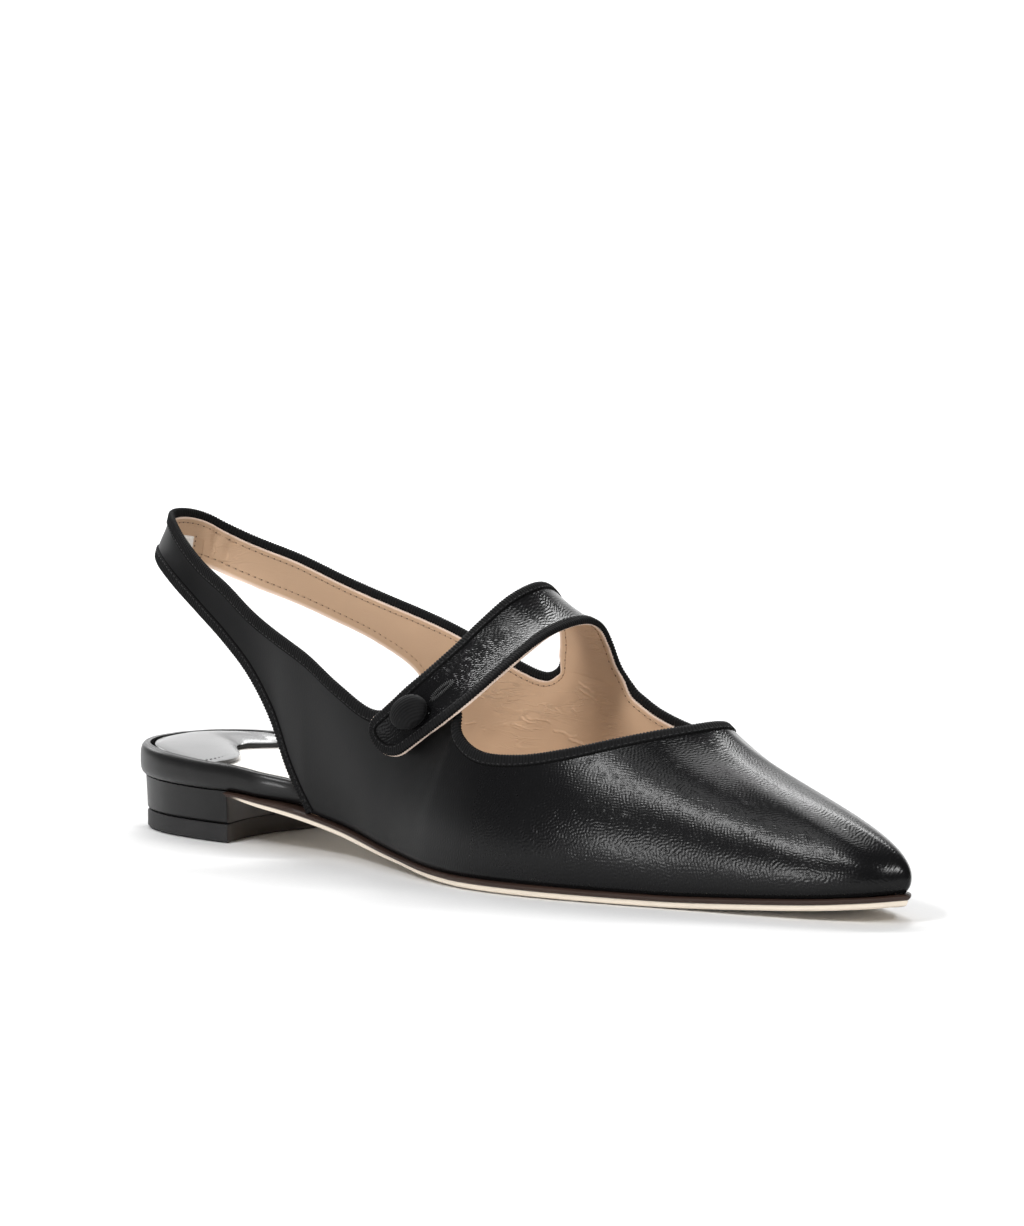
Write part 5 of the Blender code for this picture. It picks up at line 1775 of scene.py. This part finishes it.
        pad = self.pad_layers()
        vertices, faces, number = slab(constant(0), self.pad_ends, pad, self.PAD_ACROSS, self.PAD_STATIONS)
        place = np.arange(len(vertices)) % ((self.PAD_ACROSS + 1) * self.PAD_STATIONS)
        forward, side = np.divmod(place, self.PAD_ACROSS + 1)
        forward, side = forward / (self.PAD_STATIONS - 1), side / self.PAD_ACROSS
        crown = self.pad_crown(forward, side) * (number == len(pad) - 1)
        thickness = self.pad_thickness(vertices[:, 0], forward, side)
        vertices[:, 2] += thickness * np.array(self.PAD_PROFILE)[number, 1] + crown
        piece = close_up(add_mesh("heel_cushion", vertices, faces), 50)
        settle(piece, "pad_leather", "heel_pad", material=gloss)

        share = np.linspace(*self.STITCH_SHARES, self.STITCH_POINTS)
        rows = self.pad_ends(share) - self.STITCH_INSET_ROWS
        outer, inner = outline_side(OUTER, rows), outline_side(INNER, rows)
        plan = outer * (1 - share[:, None]) + inner * share[:, None]
        forward = rows / self.pad_ends(share)
        top = self.pad_base(plan[:, 0]) + self.pad_thickness(plan[:, 0], forward, share)
        top = top + self.pad_crown(forward, share) + sizes.thread_radius * self.STITCH_SUNK
        line = np.column_stack([plan, top])
        sew("stitches_pad", [(line, np.tile(UP, (len(line), 1)), False)],
            bpy.data.materials["black_thread"], sizes.stitch_pitch * self.STITCH_PITCH,
            sizes.stitch_length * self.STITCH_LENGTH, sizes.thread_radius, "pad_leather")
        return {"FINISHED"}


class PUMP_OT_elastic(PieceOperator, bpy.types.Operator):
    """Put the ribbed elastic inside the back of the sling"""

    bl_idname = "pump.elastic"
    bl_label = "Sling elastic"

    COLUMNS = 40
    ROWS = 50
    CLEARANCE = 0.12
    THICKNESS = 0.0005
    RIB_PITCH = 0.0011
    RIB_DEPTH = 0.00012
    CLEAR_OF_LEATHER = 0.00004
    FACING = 0.0036
    FACING_BLUR = 0.0002
    SEAM_PITCH = 0.55
    SEAM_LENGTH = 0.4
    SEAM_THREAD = 1.2

    def execute(self, context):
        sheet, sizes = upper_sheet(), context.scene.pump_sizes
        row_ends, column_ends = elastic_window(sheet)
        clear = np.array([self.CLEARANCE, -self.CLEARANCE])
        columns = np.linspace(*(column_ends + clear), self.COLUMNS)
        rows = np.linspace(*(row_ends + clear), self.ROWS)
        grid = sheet.points[sheet.ring]
        low, under = np.floor(columns).astype(int), np.floor(rows).astype(int)
        part, rise = (columns - low)[:, None], (rows - under)[:, None, None]
        across = grid[:, low] * (1 - part) + grid[:, low + 1] * part
        lines = across[under] + (across[under + 1] - across[under]) * rise
        index = np.arange(self.ROWS * self.COLUMNS).reshape(self.ROWS, self.COLUMNS)
        places, normals = sheet.lay(lines.reshape(-1, 3))
        near = -sizes.leather - self.CLEAR_OF_LEATHER
        vertices, faces = wall_of(places, grid_faces(index), normals, near, near - self.THICKNESS)
        run = np.linalg.norm(np.diff(lines[:, self.COLUMNS // 2], axis=0), axis=1)
        along = np.repeat(np.concatenate([[0.0], np.cumsum(run)]), self.COLUMNS)
        pace = np.linalg.norm(np.diff(lines[self.ROWS // 2], axis=0), axis=1)
        left = np.append(np.cumsum(pace[::-1])[::-1], 0.0)
        faced = 1 - ease(left, (self.FACING - self.FACING_BLUR, self.FACING + self.FACING_BLUR))
        faced = np.tile(faced, self.ROWS)
        weight = np.concatenate([np.zeros(len(places)), 1 - faced])
        attributes = {"along": np.tile(along, 2), "weight": weight, "faced": np.tile(faced, 2)}
        piece = close_up(add_mesh("elastic_insert", vertices, faces, attributes), 60)
        web = elastic_web()
        bake(piece, rib_tree(), {"Pitch": self.RIB_PITCH, "Depth": self.RIB_DEPTH, "Material": web})
        settle(piece, "elastic_web", "sling_elastic")
        seams = []
        faced_from = round(columns[np.argmin(np.abs(left - self.FACING))])
        for column in (column_ends[0] - 1, faced_from + 1):
            seam = sheet.ring[row_ends[0]:row_ends[1] + 1, column]
            points, facing = sheet.points[seam], sheet.normals[seam]
            seams.append((points - facing * (sizes.lining + STITCH_LIFT), -facing, False))
        # The elastic's seams are sewn in the same painted hole shadow
        sew("stitches_elastic", seams, bpy.data.materials["stitch_hole"],
            sizes.stitch_pitch * self.SEAM_PITCH, sizes.stitch_length * self.SEAM_LENGTH,
            sizes.thread_radius * self.SEAM_THREAD, "sock_leather")
        return {"FINISHED"}


class PUMP_OT_stage(PieceOperator, bpy.types.Operator):
    """Set the pale sweep, the soft lights and the camera at the photograph's angle"""

    bl_idname = "pump.stage"
    bl_label = "Studio"

    SWEEP_BEHIND = 2.2
    SWEEP_BEFORE = 3.0
    SWEEP_HALF_WIDTH = 3.5
    SWEEP_RADIUS = 1.2
    SWEEP_HEIGHT = 3.0
    SWEEP_STEPS = 24
    SWEEP_COLUMNS = 9
    FLOOR_DROP = 0.0002
    SENSOR_WIDTH = 36.0
    CLIP_RANGE = (0.05, 50.0)

    # Softboxes round the shoe, each with the power of its name: direction, distance, size, roll in degrees
    SOFTBOXES = {
        "overhead": ((-0.22, 0.28, 0.934), 2.2, (0.42, 1.40), 0),
        "crown": ((-0.10, -0.36, 0.93), 1.5, (0.40, 0.40), 0),
        "side_high": ((0.02, -0.69, 0.72), 1.3, (0.44, 0.15), -42),
        "side_low": ((0.05, -1.0, 0.115), 1.3, (0.32, 0.12), 48),
        "rear_high": ((-0.53, 0.51, 0.68), 1.6, (0.90, 0.75), 0),
        "back": ((-0.90, 0.10, 0.42), 1.3, (0.5, 0.3), 0),
        "front": ((0.79, -0.21, 0.57), 1.3, (0.20, 0.20), 0),
    }
    BACKDROP_AIM = (2.6, 0.8)
    BACKDROP_LEAN = 0.5
    BACKDROP_DISTANCE = 1.8
    BACKDROP_SIZE = (2.6, 0.8)

    def sweep(self, towards):
        """A paper sweep: flat under the shoe and rising in a curve behind it."""
        profile = [(-self.SWEEP_BEFORE, 0.0), (self.SWEEP_BEHIND, 0.0)]
        for angle in np.linspace(0, math.pi / 2, self.SWEEP_STEPS)[1:]:
            profile.append((self.SWEEP_BEHIND + self.SWEEP_RADIUS * math.sin(angle),
                            self.SWEEP_RADIUS * (1 - math.cos(angle))))
        profile.append((self.SWEEP_BEHIND + self.SWEEP_RADIUS, self.SWEEP_HEIGHT))
        away = -np.array([towards[0], towards[1], 0.0]) / math.hypot(towards[0], towards[1])
        side = np.cross(UP, away)
        rows = [away * run + UP * (rise - self.FLOOR_DROP) for run, rise in profile]
        reaches = np.linspace(-1, 1, self.SWEEP_COLUMNS) * self.SWEEP_HALF_WIDTH
        points = np.array([[row + side * reach for reach in reaches] for row in rows])
        index = np.arange(points.shape[0] * points.shape[1]).reshape(points.shape[:2])
        piece = add_mesh("sweep", points.reshape(-1, 3), grid_faces(index)[:, ::-1])
        piece.data.shade_smooth()
        piece.data.materials.append(studio_floor())

    def softbox(self, name, direction, distance, size, power, aim=CAMERA_TARGET, roll=0.0):
        """An area light that faces the shoe, or another place, from a direction, rolled by some degrees."""
        light = bpy.data.lights.new(name, "AREA")
        light.shape = "RECTANGLE"
        light.size, light.size_y = size
        light.energy = power
        lamp = bpy.data.objects.new(name, light)
        target = Vector(np.array(aim) + pattern_origin())
        way = Vector(direction).normalized()
        lamp.location = target + way * distance
        turn = way.to_track_quat("Z", "Y") @ Quaternion((0, 0, 1), math.radians(roll))
        lamp.rotation_euler = turn.to_euler()
        bpy.context.scene.collection.objects.link(lamp)

    def camera(self, scene, towards, right):
        """The camera as fitted to the photograph."""
        above = towards.cross(right)
        target = Vector(np.array(CAMERA_TARGET) + pattern_origin())
        data = bpy.data.cameras.new("camera")
        data.sensor_width = self.SENSOR_WIDTH
        data.lens = CAMERA_FOCAL_PIXELS / PHOTO_LONG_SIDE * data.sensor_width
        data.clip_start, data.clip_end = self.CLIP_RANGE
        camera = bpy.data.objects.new("camera", data)
        camera.location = target + towards * CAMERA_DISTANCE
        aim = target + right * CAMERA_RIGHT_OF_TARGET + above * CAMERA_ABOVE_TARGET
        camera.rotation_euler = (camera.location - aim).to_track_quat("Z", "Y").to_euler()
        scene.collection.objects.link(camera)
        scene.camera = camera

    def sky(self, scene, strength):
        """An even white light from all round."""
        world = bpy.data.worlds.new("studio")
        world.use_nodes = True
        background = world.node_tree.nodes["Background"]
        background.inputs["Color"].default_value = (1, 1, 1, 1)
        background.inputs["Strength"].default_value = strength
        scene.world = world

    def execute(self, context):
        scene, stage = context.scene, context.scene.pump_stage
        azimuth, elevation = math.radians(CAMERA_AZIMUTH), math.radians(CAMERA_ELEVATION)
        level = Vector((math.sin(azimuth), -math.cos(azimuth), 0.0)) * math.cos(elevation)
        up = Vector((0.0, 0.0, 1.0))
        towards = level + up * math.sin(elevation)
        self.camera(scene, towards, Vector((math.cos(azimuth), math.sin(azimuth), 0.0)))
        self.sky(scene, stage.sky)
        scene.view_settings.view_transform = "Standard"
        self.sweep(towards)
        for name, (direction, distance, size, roll) in self.SOFTBOXES.items():
            self.softbox(name, direction, distance, size, getattr(stage, name), roll=roll)
        behind, high = self.BACKDROP_AIM
        self.softbox("backdrop", level * self.BACKDROP_LEAN + up, self.BACKDROP_DISTANCE,
                     self.BACKDROP_SIZE, stage.backdrop, aim=up * high - towards * behind)
        return {"FINISHED"}


class PUMP_PT_panel(bpy.types.Panel):
    """Sidebar panel of the pump"""

    bl_idname = "PUMP_PT_panel"
    bl_label = "Slingback Pump"
    bl_space_type = "VIEW_3D"
    bl_region_type = "UI"
    bl_category = "Pump"

    def draw(self, context):
        for group in (context.scene.pump_sizes, context.scene.pump_colours, context.scene.pump_stage):
            column = self.layout.column(align=True)
            for key in group.bl_rna.properties.keys():
                if key not in ("rna_type", "name"):
                    column.prop(group, key)
        for operator in OPERATORS:
            self.layout.operator(operator.bl_idname)


GROUPS = {"pump_sizes": PumpSizes, "pump_colours": PumpColours, "pump_stage": PumpStage}
OPERATORS = (
    PUMP_OT_upper,
    PUMP_OT_lining,
    PUMP_OT_ribbons,
    PUMP_OT_stitches,
    PUMP_OT_button,
    PUMP_OT_sole,
    PUMP_OT_heel,
    PUMP_OT_insole,
    PUMP_OT_elastic,
    PUMP_OT_stage,
)


def register():
    """Add the classes and the scene's settings."""
    for group in GROUPS.values():
        bpy.utils.register_class(group)
    for operator in OPERATORS:
        bpy.utils.register_class(operator)
    bpy.utils.register_class(PUMP_PT_panel)
    for key, group in GROUPS.items():
        setattr(bpy.types.Scene, key, bpy.props.PointerProperty(type=group))


def unregister():
    """Remove what register added."""
    for key in GROUPS:
        delattr(bpy.types.Scene, key)
    bpy.utils.unregister_class(PUMP_PT_panel)
    for operator in reversed(OPERATORS):
        bpy.utils.unregister_class(operator)
    for group in reversed(GROUPS.values()):
        bpy.utils.unregister_class(group)


def main():
    """Dress the frame piece by piece."""
    register()
    for operator in OPERATORS:
        getattr(bpy.ops.pump, operator.bl_idname.split(".")[1])()


if __name__ == "__main__":
    main()
